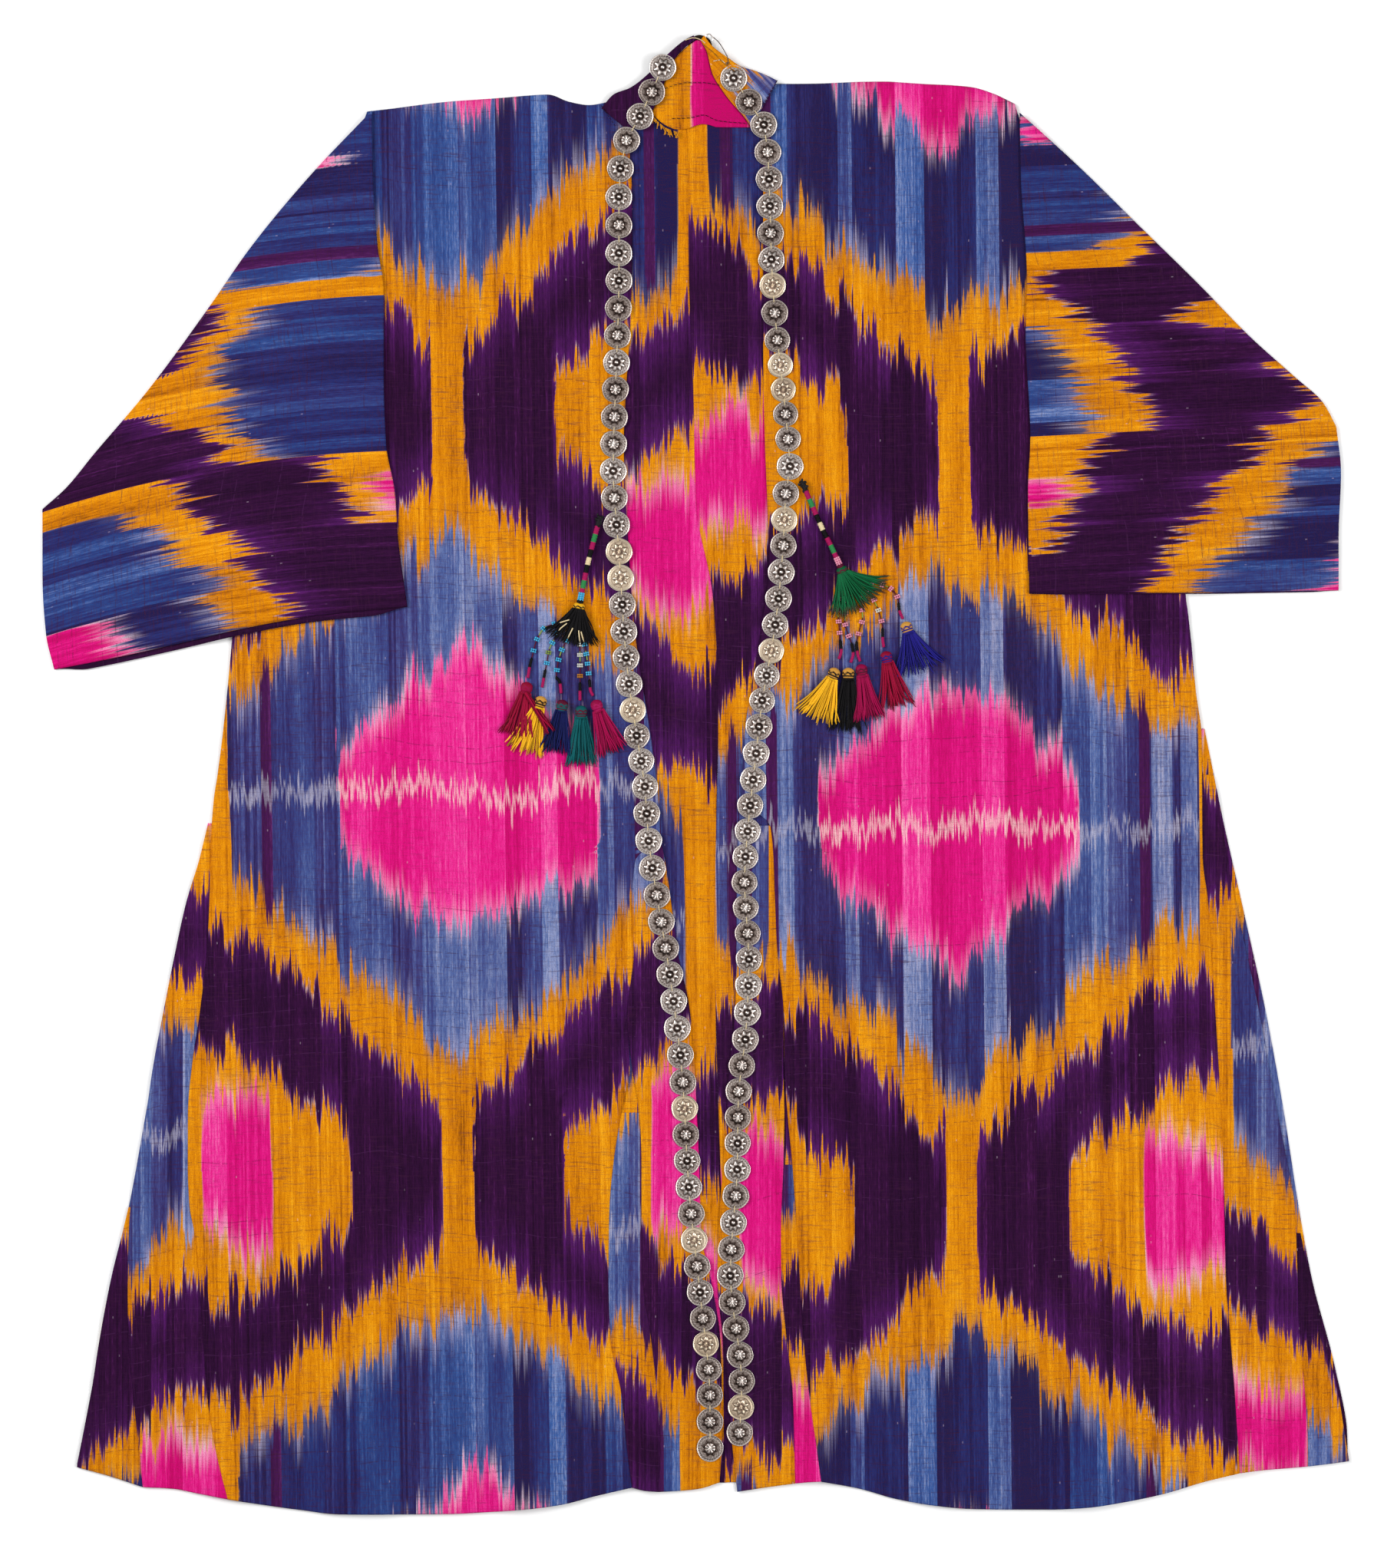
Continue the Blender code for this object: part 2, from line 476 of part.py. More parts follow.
def sleeve(name, outline, body_edge, outward, finish, fibres=7):
    """Flattened tube of cloth, open at the armhole end and at the cuff."""
    sections, heights = sleeve_sections(outline, body_edge, outward)
    loops = []
    for inner in (False, True):
        for strip, base in zip(sections, heights):
            length = np.concatenate([[0.0], np.cumsum(np.linalg.norm(np.diff(strip, axis=0), axis=1))])
            tip = CLOTH if inner else 0.0
            shoulder = tip + (0.4 if inner else SLEEVE_THICK / 2)
            at = np.concatenate([[tip], np.linspace(shoulder, length[-1] - shoulder, fibres),
                                 [length[-1] - tip]])
            plan = np.stack([np.interp(at, length, strip[:, axis]) for axis in range(2)], axis=-1)
            over = np.full(len(at), base + (CLOTH + GAP if inner else SLEEVE_THICK))
            over[[0, -1]] = base + SLEEVE_THICK / 2
            under = base + (CLOTH if inner else 0.0)
            loops.append(np.concatenate([lay(plan[None], over)[0], lay(plan[None], under)[0, -2:0:-1]]))
    sections_count, count = len(sections), len(loops[0])
    number = np.arange(len(loops) * count).reshape(2, sections_count, count)
    faces = []
    for k in range(count):
        nxt = (k + 1) % count
        for skin in range(2):
            for s in range(sections_count - 1):
                faces.append((number[skin, s, k], number[skin, s, nxt],
                              number[skin, s + 1, nxt], number[skin, s + 1, k]))
        for s in (0, sections_count - 1):
            faces.append((number[0, s, k], number[0, s, nxt], number[1, s, nxt], number[1, s, k]))
    faces = [tuple(int(i) for i in face) for face in faces]
    return new_object(name, np.concatenate(loops), faces, finish)


def collar_piece(name, left, right, lower, upper, base, columns, rows, finish):
    """Piece of the collar: a wall that rises towards the peak."""
    plan = patch(left, right, lower, upper, np.linspace(0, 1, columns + 1), np.linspace(0, 1, rows + 1))
    height = base + collar_rise(plan[..., 1])
    return wall(name, lay(plan, height + CLOTH), lay(plan, height), finish)


# ---------------------------------------------------------------- discs
def chain_centres(placed):
    """Centres of all the discs of a chain, from its placed ones."""
    numbers = [row["disc"] for row in placed]
    return np.stack([smooth_value(numbers, [row[axis] for row in placed], np.arange(DISC_COUNT))
                     for axis in ("x", "y")], axis=-1)


def rim_angles(ahead, behind):
    """Directions of the rim's points: a pair at each link and points round each flank."""
    turn_left = (behind - LINK_HALF_ANGLE - ahead - LINK_HALF_ANGLE) % (2 * math.pi)
    turn_right = (ahead - LINK_HALF_ANGLE - behind - LINK_HALF_ANGLE) % (2 * math.pi)
    steps = FLANK_POINTS + 1
    left = [ahead + LINK_HALF_ANGLE + turn_left * k / steps for k in range(steps + 1)]
    right = [behind + LINK_HALF_ANGLE + turn_right * k / steps for k in range(steps + 1)]
    return [right[-1]] + left + right[:-1]


def disc_points(centre, angles, seat):
    """Lower rim, upper rim and dome points of one disc, each laid on the seat."""
    rim = np.array([centre + DISC_RADIUS * np.array((math.cos(a), math.sin(a))) for a in angles])
    dome = centre + (rim[::2] - centre) * DISC_DOME_SHARE
    return np.concatenate([lay(rim[None], seat(rim[:, 1]) + GAP)[0],
                           lay(rim[None], seat(rim[:, 1]) + GAP + DISC_RIM)[0],
                           lay(dome[None], seat(dome[:, 1]) + GAP + DISC_DOME)[0]])


def disc_faces(start, link_ahead, link_behind):
    """Faces of one disc; the side is left open where a link joins it."""
    low = [start + k for k in range(RIM_POINTS)]
    high = [start + RIM_POINTS + k for k in range(RIM_POINTS)]
    dome = [start + 2 * RIM_POINTS + k for k in range(RIM_POINTS // 2)]
    faces = [tuple(reversed(low)), tuple(dome)]
    for k in range(RIM_POINTS):
        nxt = (k + 1) % RIM_POINTS
        if not ((k == 0 and link_ahead) or (k == RIM_POINTS // 2 and link_behind)):
            faces.append((low[k], low[nxt], high[nxt], high[k]))
    for k in range(RIM_POINTS // 2):
        a, b, c = high[2 * k], high[2 * k + 1], high[(2 * k + 2) % RIM_POINTS]
        here, nxt = dome[k], dome[(k + 1) % (RIM_POINTS // 2)]
        faces += [(a, b, here), (b, c, nxt), (b, nxt, here)]
    return faces


def disc_chain(name, placed):
    """Chain of domed discs, each joined to the next by a short flat link."""
    centres = chain_centres(placed)
    step = np.diff(centres, axis=0)
    heading = np.arctan2(step[:, 1], step[:, 0])
    points, faces = [], []
    per_disc = 2 * RIM_POINTS + RIM_POINTS // 2
    last = DISC_COUNT - 1
    for k in range(DISC_COUNT):
        ahead = heading[min(k, last - 1)]
        behind = heading[max(k - 1, 0)] + math.pi
        points.append(disc_points(centres[k], rim_angles(ahead, behind), disc_seat))
        faces += disc_faces(k * per_disc, k < last, k > 0)
        if k < last:
            here, there = k * per_disc, (k + 1) * per_disc
            half = RIM_POINTS // 2
            loop_a = (here, here + 1, here + RIM_POINTS + 1, here + RIM_POINTS)
            loop_b = (there + half + 1, there + half, there + RIM_POINTS + half,
                      there + RIM_POINTS + half + 1)
            for j in range(4):
                faces.append((loop_a[j], loop_a[(j + 1) % 4], loop_b[(j + 1) % 4], loop_b[j]))
    return new_object(name, np.concatenate(points), faces, "oxidised_silver")


def peak_disc(name):
    """The disc sewn under the collar's peak; its upper edge shows past the cloth."""
    angles = [2 * math.pi * k / RIM_POINTS for k in range(RIM_POINTS)]

    def under_collar(y):
        return FRONT_BASE + collar_rise(y) - DISC_DOME - 2 * GAP

    points = disc_points(np.array(PEAK_DISC), angles, under_collar)
    return new_object(name, points, disc_faces(0, False, False), "oxidised_silver")


# ---------------------------------------------------------------- tassels
def ring(centre, heading, half_width, half_height, count):
    """Closed ring of points across a heading."""
    side = np.array((-math.sin(heading), math.cos(heading), 0.0))
    turn = 2 * math.pi * (np.arange(count) + 0.5) / count
    return (np.asarray(centre)[None] + side[None] * (half_width * np.cos(turn))[:, None]
            + np.array((0.0, 0.0, 1.0))[None] * (half_height * np.sin(turn))[:, None])


def headings(route):
    step = np.gradient(np.asarray(route, float), axis=0)
    return np.arctan2(step[:, 1], step[:, 0])


def fringe(root, heading, root_half, root_z, fan, length, tip_z, strands):
    """Root loop, strand tips and faces of a fan of strands that grow from one flat end."""
    side = np.array((-math.sin(heading), math.cos(heading)))
    pitch = 2 * root_half / strands
    thick = STRAND_THICK
    middles = root_half - pitch * (np.arange(strands) + 0.5)
    half = pitch * STRAND_ROOT_FILL / 2
    left = np.array(root) + side * (middles + half)[:, None]
    right = np.array(root) + side * (middles - half)[:, None]
    turn = np.radians(np.linspace(fan[0], fan[1], strands))
    flat_out = np.stack([np.cos(turn), np.sin(turn)], axis=-1)
    ripple = 1.0 + 0.05 * np.cos(np.arange(strands) * 2.4)
    tips = np.array(root) + flat_out * (length * ripple)[:, None]
    tip_side = np.stack([-flat_out[:, 1], flat_out[:, 0]], axis=-1) * STRAND_TIP_WIDTH / 2
    corners = [lay(left[None], root_z + thick)[0], lay(right[None], root_z + thick)[0],
               lay(right[None], root_z)[0], lay(left[None], root_z)[0]]
    ends = [lay((tips + tip_side)[None], tip_z + thick)[0], lay((tips - tip_side)[None], tip_z + thick)[0],
            lay((tips - tip_side)[None], tip_z)[0], lay((tips + tip_side)[None], tip_z)[0]]
    points = np.concatenate(corners + ends)
    at = np.arange(8 * strands).reshape(2, 4, strands)
    top_row = [int(at[0, c, k]) for k in range(strands) for c in (0, 1)]
    low_row = [int(at[0, c, k]) for k in reversed(range(strands)) for c in (2, 3)]
    faces = []
    for k in range(strands):
        for c in range(4):
            d = (c + 1) % 4
            faces.append(tuple(int(i) for i in (at[0, c, k], at[0, d, k], at[1, d, k], at[1, c, k])))
        faces.append(tuple(int(at[1, c, k]) for c in range(4)))
        if k + 1 < strands:
            faces.append(tuple(int(i) for i in (at[0, 1, k], at[0, 0, k + 1], at[0, 3, k + 1], at[0, 2, k])))
    return points, top_row + low_row, faces


def tassel_body(name, rings, fringe_parts, finish):
    """One closed body: rings of points, the last of them stitched to a fringe's root loop."""
    points, faces, previous = [], [], None
    start = 0
    for loop in rings:
        numbers = [start + k for k in range(len(loop))]
        points.append(loop)
        if previous is None:
            faces.append(tuple(numbers))
        else:
            faces += stitch(previous, numbers)
        previous = numbers
        start += len(loop)
    fringe_points, root_loop, fringe_faces = fringe_parts
    points.append(fringe_points)
    faces += stitch(previous, [start + k for k in root_loop])
    faces += [tuple(start + k for k in face) for face in fringe_faces]
    return new_object(name, np.concatenate(points), faces, finish)


def small_tassel(row, finish):
    """Tassel on its string: string, bound head and a fan of strands."""
    string = np.asarray(row["string"], float)
    turn = headings(string)
    z = LOW_LEVEL + STRING_HALF
    rings = [ring((*point, z), angle, STRING_HALF, STRING_HALF, 4) for point, angle in zip(string, turn)]
    head = np.asarray(row["head"], float)
    heading = math.radians(sum(row["fan"]) / 2)
    forward = np.array((math.cos(heading), math.sin(heading)))
    crown = head - forward * HEAD_LENGTH / 2
    for share, width in ((0.05, 0.45), (0.35, 1.0), (0.75, 1.0), (1.0, 0.8)):
        spot = crown + forward * HEAD_LENGTH * share
        rings.append(ring((*spot, LOW_LEVEL + HEAD_HALF_HEIGHT), heading, HEAD_HALF_WIDTH * width,
                          HEAD_HALF_HEIGHT * width, 8))
    root = crown + forward * (HEAD_LENGTH + 2.0)
    parts = fringe(root, heading, HEAD_HALF_WIDTH, row["level"] + 0.4, row["fan"],
                   row["length"] - HEAD_LENGTH / 2 - 2.0, row["level"], TASSEL_STRANDS)
    return tassel_body(row["name"], rings, parts, finish)


def ornament(side, finish):
    """Wrapped stem with a knot at its top and a skirt of strands at its foot."""
    row = ORNAMENTS[side]
    route = np.asarray(row["route"], float)
    turn = headings(route)
    widths = [1.5, 1.0, 1.0, 1.0, 1.0, 2.0]
    rings = []
    for point, angle, width in zip(route, turn, widths):
        radius = STEM_RADIUS * width
        height = min(radius, STEM_RADIUS * 1.4)
        rings.append(ring((*point, LOW_LEVEL + height), angle, radius, height, 8))
    foot = route[-1] + np.array((math.cos(turn[-1]), math.sin(turn[-1]))) * 7.0
    rings.append(ring((*foot, SKIRT_LEVEL + 1.8), turn[-1], STEM_RADIUS * 2.2, 1.8, 8))
    root = foot + np.array((math.cos(turn[-1]), math.sin(turn[-1]))) * 2.0
    parts = fringe(root, turn[-1], STEM_RADIUS * 2.4, SKIRT_LEVEL + 0.4, row["fan"], row["length"],
                   SKIRT_LEVEL, SKIRT_STRANDS)
    return tassel_body("ornament_" + side, rings, parts, finish)


# ---------------------------------------------------------------- the robe
def make_back():
    left_columns, right_columns = BACK_SHARES, [1.0 - share for share in BACK_SHARES[::-1]]
    panels = (
        ("back_left", BACK_LEFT_SEAM, CENTRE_BACK, LEFT_BACK_TOP, left_columns, BACK_ROWS, "ikat_purple"),
        ("back_right", CENTRE_BACK, BACK_RIGHT_SEAM, RIGHT_BACK_TOP, right_columns, BACK_ROWS, "ikat_yellow"),
        ("back_gore_left", BACK_LEFT_SIDE, BACK_LEFT_SEAM, None, 2, rows_below(-41, BACK_ROWS), "ikat_blue"),
        ("back_gore_right", BACK_RIGHT_SEAM, BACK_RIGHT_SIDE, None, 2, rows_below(39, BACK_ROWS),
         "ikat_purple"),
    )
    for name, left, right, top, columns, rows, finish in panels:
        flat_panel(name, panel_plan(left, right, top, BACK_HEM, columns, rows), finish)


def make_front():
    shoulder_panel("front_left", LEFT_MAIN_OUTER, LEFT_MAIN_INNER, LEFT_SHOULDER, LEFT_HEM, 11, "ikat_yellow")
    shoulder_panel("front_right", RIGHT_MAIN_INNER, RIGHT_MAIN_OUTER, RIGHT_SHOULDER, RIGHT_HEM, 11,
                   "ikat_blue")
    gores = (
        ("side_gore_left", LEFT_GORE_OUTER, LEFT_MAIN_OUTER, LEFT_HEM, 3, -43, "ikat_blue"),
        ("side_gore_right", RIGHT_MAIN_OUTER, RIGHT_GORE_OUTER, RIGHT_HEM, 3, 20, "ikat_purple"),
        ("outer_gore_left", LEFT_SIDE, LEFT_GORE_OUTER, LEFT_HEM, 2, -366, "ikat_purple"),
        ("outer_gore_right", RIGHT_GORE_OUTER, RIGHT_SIDE, RIGHT_HEM, 2, -388, "ikat_yellow"),
        ("front_gore_left", LEFT_GORE_INNER, LEFT_FRONT_EDGE, LEFT_HEM, 3, -56, "ikat_pink"),
        ("front_gore_right", RIGHT_FRONT_EDGE, RIGHT_GORE_INNER, RIGHT_HEM, 2, -43, "ikat_pink"),
        ("inset_left", LEFT_MAIN_INNER, LEFT_GORE_INNER, LEFT_HEM, 2, -286, "ikat_blue"),
        ("inset_right", RIGHT_GORE_INNER, RIGHT_MAIN_INNER, RIGHT_HEM, 2, -330, "ikat_yellow"),
    )
    for name, left, right, hem, columns, top, finish in gores:
        folded_panel(name, panel_plan(left, right, None, hem, columns, rows_below(top)), finish)


def make_sleeves():
    sleeve("sleeve_left", LEFT_SLEEVE, LEFT_MAIN_OUTER, -1.0, "ikat_blue")
    sleeve("sleeve_right", RIGHT_SLEEVE, RIGHT_MAIN_OUTER, 1.0, "ikat_yellow")


def make_collar():
    collar_piece("collar_left", LEFT_NECK_LINE, COLLAR_LEFT_OUTER, [LEFT_NECK_LINE[0], COLLAR_LEFT_OUTER[0]],
                 [LEFT_NECK_LINE[-1], COLLAR_LEFT_OUTER[-1]], COLLAR_BASE, 2, 9, "ikat_purple")
    collar_piece("collar_right", RIGHT_NECK_LINE[::-1], COLLAR_RIGHT_OUTER[::-1],
                 [RIGHT_NECK_LINE[-1], COLLAR_RIGHT_OUTER[-1]], [RIGHT_NECK_LINE[0], COLLAR_RIGHT_OUTER[0]],
                 COLLAR_BASE, 3, 9, "ikat_yellow")
    collar_piece("neck_facing", FACING_LEFT, RIGHT_NECK_LINE[::-1], FACING_LOWER,
                 [FACING_LEFT[-1], RIGHT_NECK_LINE[0]], FRONT_BASE, 5, 8, "ikat_pink")


def make_trim():
    disc_chain("disc_chain_left", LEFT_CHAIN)
    disc_chain("disc_chain_right", RIGHT_CHAIN)
    peak_disc("disc_peak")
    ornament("left", "black_thread")
    ornament("right", "green_thread")
    for row in TASSELS:
        colour = next(word for word in ("crimson", "yellow", "navy", "teal", "black") if word in row["name"])
        small_tassel(row, colour + "_thread")


def main():
    for thing in list(bpy.data.objects):
        bpy.data.objects.remove(thing, do_unlink=True)
    make_back()
    make_front()
    make_sleeves()
    make_collar()
    make_trim()


main()
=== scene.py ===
"""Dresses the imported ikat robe: woven cloth, stamped discs, wrapped ornaments, tassels, studio.

Lengths are in millimetres until a mesh is made. The flat panels take their outline and height from
their CAD solids, the sleeves and the collar follow the same outlines as theirs, and all of them add
creases, seams and a woven ikat pattern. The pattern is a repeat charted in millimetres: how far
each dye reaches along the warp, at each distance from the loom's axis.
"""

import logging
import math
from dataclasses import dataclass
from enum import IntEnum

import bpy
import numpy as np
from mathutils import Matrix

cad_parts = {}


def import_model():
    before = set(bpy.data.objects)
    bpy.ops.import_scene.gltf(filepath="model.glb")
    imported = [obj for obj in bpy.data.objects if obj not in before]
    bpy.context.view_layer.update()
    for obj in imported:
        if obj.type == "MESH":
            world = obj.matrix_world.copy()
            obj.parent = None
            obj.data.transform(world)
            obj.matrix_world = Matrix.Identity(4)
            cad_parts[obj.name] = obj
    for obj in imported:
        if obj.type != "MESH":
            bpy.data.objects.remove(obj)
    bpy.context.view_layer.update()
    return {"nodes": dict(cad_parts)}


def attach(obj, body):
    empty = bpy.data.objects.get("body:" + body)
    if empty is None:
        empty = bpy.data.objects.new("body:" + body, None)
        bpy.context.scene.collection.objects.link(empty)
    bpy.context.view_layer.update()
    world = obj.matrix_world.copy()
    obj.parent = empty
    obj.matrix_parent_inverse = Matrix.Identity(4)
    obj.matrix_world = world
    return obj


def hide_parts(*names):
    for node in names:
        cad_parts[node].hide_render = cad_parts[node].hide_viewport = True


LOG = logging.getLogger("robe")
MM = 0.001

# ---------------------------------------------------------------- levels shared with the solids
CLOTH = 0.8                 # shown thickness of every cloth piece
CELL = 5.0                  # size of the mesh cells of a flat panel
HEM_LIMIT = -572.0          # a solid's corners below this belong to its hem,
SHOULDER_LIMIT = 556.5      # and above this to its shoulder
SEAM_REACH = 0.2            # each shell reaches this much further than its solid, to its seam
FRONT_TOP = 2.7             # top of a front, and of the neck facing
SLEEVE_BASE = 3.0           # underside of a sleeve where it lies on a front
SLEEVE_SLOPE = (5.0, 36.0)  # the sleeve comes down to the table between these distances
SLEEVE_THICK = 2.7          # both walls of a flattened sleeve and the air between them
COLLAR_TOP = 4.2            # top of the collar band at its lower end,
COLLAR_RISE = 4.0           # how much higher it stands at its peak,
COLLAR_SLOPE = (558.0, 624.0)   # and the heights on the page between which it rises
DISC_RADIUS = 10.4          # of the single disc under the peak
DISC_DOME = 2.2             # a disc's seat lies this far below the corners of its dome
LOW_LEVEL = 3.0             # ornaments and tassels lie here, just above the fronts
SHOULDER_Y, ROBE_LENGTH = 570.0, 1190.0
OUTLINE_CENTRE = np.array((0.9, 0.25))   # taken from outline points to reach the frame

# ---------------------------------------------------------------- the ikat repeat, in mm
PERIOD = 644.0              # from one medallion's middle to the next, along the warp
HALF = PERIOD / 2
# (distance from the loom's axis, how far the dye reaches along the warp from a medallion's middle)
PINK_REACH = ((0, 128), (13, 124), (17, 103), (50, 91), (54, 73), (92, 60), (96, 46), (112, 42))
# The same for a heart's blunt end, where the tied warp was cut short.
PINK_BLUNT = ((0, 115), (30, 107), (50, 95), (75, 76), (98, 62), (112, 54))
BLUE_REACH = ((0, 219), (30, 196), (66, 173), (113, 133), (166, 90), (176, 84))
YELLOW_REACH = ((0, 262), (20, 258), (66, 219), (113, 179), (166, 133), (192, 119))
# And from the middle of the half lozenges at the loom's edges, half a period away.
LOZENGE_REACH = ((90, 40), (130, 62), (165, 90), (192, 103))
CORE_REACH = ((149, 56), (172, 68), (190, 62), (212, 50))
BAR_HALF = 13.5             # half width of the yellow bar along the loom's axis
LOOM_EDGE = 192.0           # distance of the loom's edge from its axis
STRIPE_HALF = 4.6           # half width of the thin violet stripe
STRIPE_SLANT = 12.0         # its ends are cut this much blunter than its sides
EDGE = 20.0                 # edges that run along the warp are this much steeper than the others
DEEP = 90.0                 # depth at which a dye's field stops counting
STRIPE_DEEP = 12.0          # and the same for the stripe's
# Distances that keep one panel's random threads apart from another's, and one width's on a sleeve.
SEED_APART = 1000.0
WIDTH_APART = (0.0, 400.0, 700.0)
SLEEVE_DEPTH = 0.9          # how deep a sleeve's blue is


def srgb(text: str) -> tuple:
    """Linear RGBA of a hex colour."""
    channels = [int(text[k:k + 2], 16) / 255 for k in (1, 3, 5)]
    linear = [c / 12.92 if c <= 0.04045 else ((c + 0.055) / 1.055) ** 2.4 for c in channels]
    return (*linear, 1.0)


def smooth_step(t) -> np.ndarray:
    """0 below 0, 1 above 1, and 3 t^2 - 2 t^3 between them."""
    t = np.clip(t, 0.0, 1.0)
    return t * t * (3.0 - 2.0 * t)


def smooth_value(stations, values, at) -> np.ndarray:
    """Monotone cubic through a table of values, which never overshoots them.

    Args:
        stations: the places where values are given, rising.
        values: an array whose first axis runs over the stations.
        at: the places asked for.

    Returns:
        The values there, first axis over the places.
    """
    s = np.asarray(stations, float)
    f = np.asarray(values, float).reshape(len(s), -1)
    step = np.diff(s)[:, None]
    slope = np.diff(f, axis=0) / step
    tangent = np.concatenate([slope[:1], np.zeros((len(s) - 2, f.shape[1])), slope[-1:]])
    same_way = slope[:-1] * slope[1:] > 0
    safe_a = np.where(same_way, slope[:-1], 1.0)
    safe_b = np.where(same_way, slope[1:], 1.0)
    weight_a, weight_b = 2 * step[1:] + step[:-1], step[1:] + 2 * step[:-1]
    harmonic = (weight_a + weight_b) / (weight_a / safe_a + weight_b / safe_b)
    tangent[1:-1] = np.where(same_way, harmonic, 0.0)
    at = np.clip(np.asarray(at, float), s[0], s[-1])
    cell = np.clip(np.searchsorted(s, at) - 1, 0, len(step) - 1)
    t = ((at - s[cell]) / step[cell, 0])[:, None]
    rise = step[cell]
    out = ((1 + 2 * t) * (1 - t) ** 2 * f[cell] + t * (1 - t) ** 2 * rise * tangent[cell]
           + t * t * (3 - 2 * t) * f[cell + 1] + t * t * (t - 1) * rise * tangent[cell + 1])
    return out.reshape(len(at), *np.asarray(values).shape[1:])


def along(points, share) -> np.ndarray:
    """Points at shares (0 to 1) of the length of a smooth curve through the points."""
    table = np.asarray(points, float)
    length = np.concatenate([[0.0], np.cumsum(np.linalg.norm(np.diff(table, axis=0), axis=1))])
    return smooth_value(length, table, np.asarray(share, float) * length[-1])


def line_x(line, y) -> np.ndarray:
    """X of a long line, a table of (x, y), at heights y."""
    table = np.asarray(line, float)
    order = np.argsort(table[:, 1])
    return np.interp(y, table[order, 1], table[order, 0])


def lifted(plan, level) -> np.ndarray:
    """Plan points (..., 2) with a height each: one for all of them, or an array that fits them."""
    plan = np.asarray(plan, float)
    height = np.broadcast_to(level, plan.shape[:-1])
    return np.concatenate([plan, height[..., None]], axis=-1)


def row_lengths(grid) -> np.ndarray:
    """Length of each row of a grid of points."""
    return np.linalg.norm(np.diff(grid, axis=1), axis=-1).sum(axis=1)


# ---------------------------------------------------------------- dyes
class Dye(IntEnum):
    """The dyes of a cut of cloth, as numbers in its dye field; purple is the ground."""
    PURPLE = -1
    YELLOW = 0
    BLUE = 1
    PINK = 2


@dataclass(frozen=True)
class LoomCut:
    """Where one cut of cloth differs from the repeat."""
    heart: bool = True         # has a pink heart in its medallions
    heart_off: float = 0.0     # the heart's middle, off the loom's axis
    trims: tuple = (0.0, 0.0)  # how much shorter the heart is in the medallion above and below
    blunt: int = 0             # the heart's blunt end: 1 the upper, -1 the lower, 0 neither
    bar: bool = True           # has a yellow bar along its axis
    blue_edge: float = 176.0   # where the blue stops across the warp
    pink_edge: float = 111.0   # where the pink stops across the warp
    stripe: float = 158.0      # middle of the thin violet stripe
    stripe_reach: float = 105.0    # and how far along the warp it runs
    core: bool = True          # has a pink core in its half lozenges
    core_edge: float = 152.0   # where that core starts across the warp
    core_far: float = 260.0    # and where it ends
    core_trim: float = 0.0     # how much shorter it is
    core_side: int = 0         # the only edge with a core: 1 towards +X, -1 towards -X, 0 both
    lozenge_edge: float = 90.0     # where the half lozenges start across the warp
    lozenge_trim: float = 0.0  # how much shorter they are


def from_medallion(v) -> np.ndarray:
    """Signed distance along the warp from the middle of the nearest medallion."""
    return v - PERIOD * np.round(v / PERIOD)


def dye_fields(u, v, cut: LoomCut) -> np.ndarray:
    """How far inside the yellow, blue and pink dye each point is, in mm along the warp.

    A dye's field is its reach at that distance from the axis, less the distance along the warp,
    and never more than EDGE times the distance to the dye's own edge across the warp.

    Args:
        u: distance from the loom's axis.
        v: distance along the warp from a medallion's middle.
        cut: how this cut differs from the repeat.
    """
    w = np.abs(from_medallion(v))
    h = HALF - w
    shifted = np.abs(u - cut.heart_off)
    far_side = u * cut.core_side < 0
    u = np.abs(u)

    def reach(table: tuple, distance: np.ndarray, at: np.ndarray) -> np.ndarray:
        """How far past a distance a table reaches."""
        return np.interp(at, *zip(*table)) - distance

    lozenge = reach(LOZENGE_REACH, h, u) - cut.lozenge_trim
    lozenge = np.minimum(lozenge, (u - cut.lozenge_edge) * EDGE)
    yellow = np.maximum(reach(YELLOW_REACH, w, u), lozenge)
    if cut.bar:
        yellow = np.maximum(yellow, (BAR_HALF - u) * EDGE)
    blue = np.minimum(reach(BLUE_REACH, w, u), (cut.blue_edge - u) * EDGE)
    magenta = np.full_like(u, -DEEP)
    if cut.core:
        strip = np.minimum(u - cut.core_edge, cut.core_far - u) * EDGE
        magenta = np.minimum(reach(CORE_REACH, h, u) - cut.core_trim, strip)
        magenta = np.where(far_side, -DEEP, magenta)
    if cut.heart:
        trim = np.where(v > HALF, cut.trims[0], np.where(v < -HALF, cut.trims[1], 0.0))
        blunt = np.sign(from_medallion(v)) == cut.blunt
        long_way = np.where(blunt, reach(PINK_BLUNT, w, shifted), reach(PINK_REACH, w, shifted))
        heart = np.minimum(long_way - trim, (cut.pink_edge - shifted) * EDGE)
        magenta = np.maximum(magenta, heart)
    return np.clip(np.stack([yellow, blue, magenta], axis=-1), -DEEP, DEEP)


def stripe_field(u, v, cut: LoomCut) -> np.ndarray:
    """How far inside the thin violet stripe each point is, in mm across the warp."""
    end = (cut.stripe_reach - np.abs(from_medallion(v))) / STRIPE_SLANT
    inside = np.minimum(STRIPE_HALF - np.abs(np.abs(u) - cut.stripe), end)
    return np.clip(inside, -STRIPE_DEEP, STRIPE_DEEP)[..., None]


@dataclass(frozen=True)
class Motif:
    """One lozenge that the repeat doesn't have: its middle, half sizes and dye."""
    x: float
    y: float
    half_warp: float
    half_weft: float
    dye: Dye


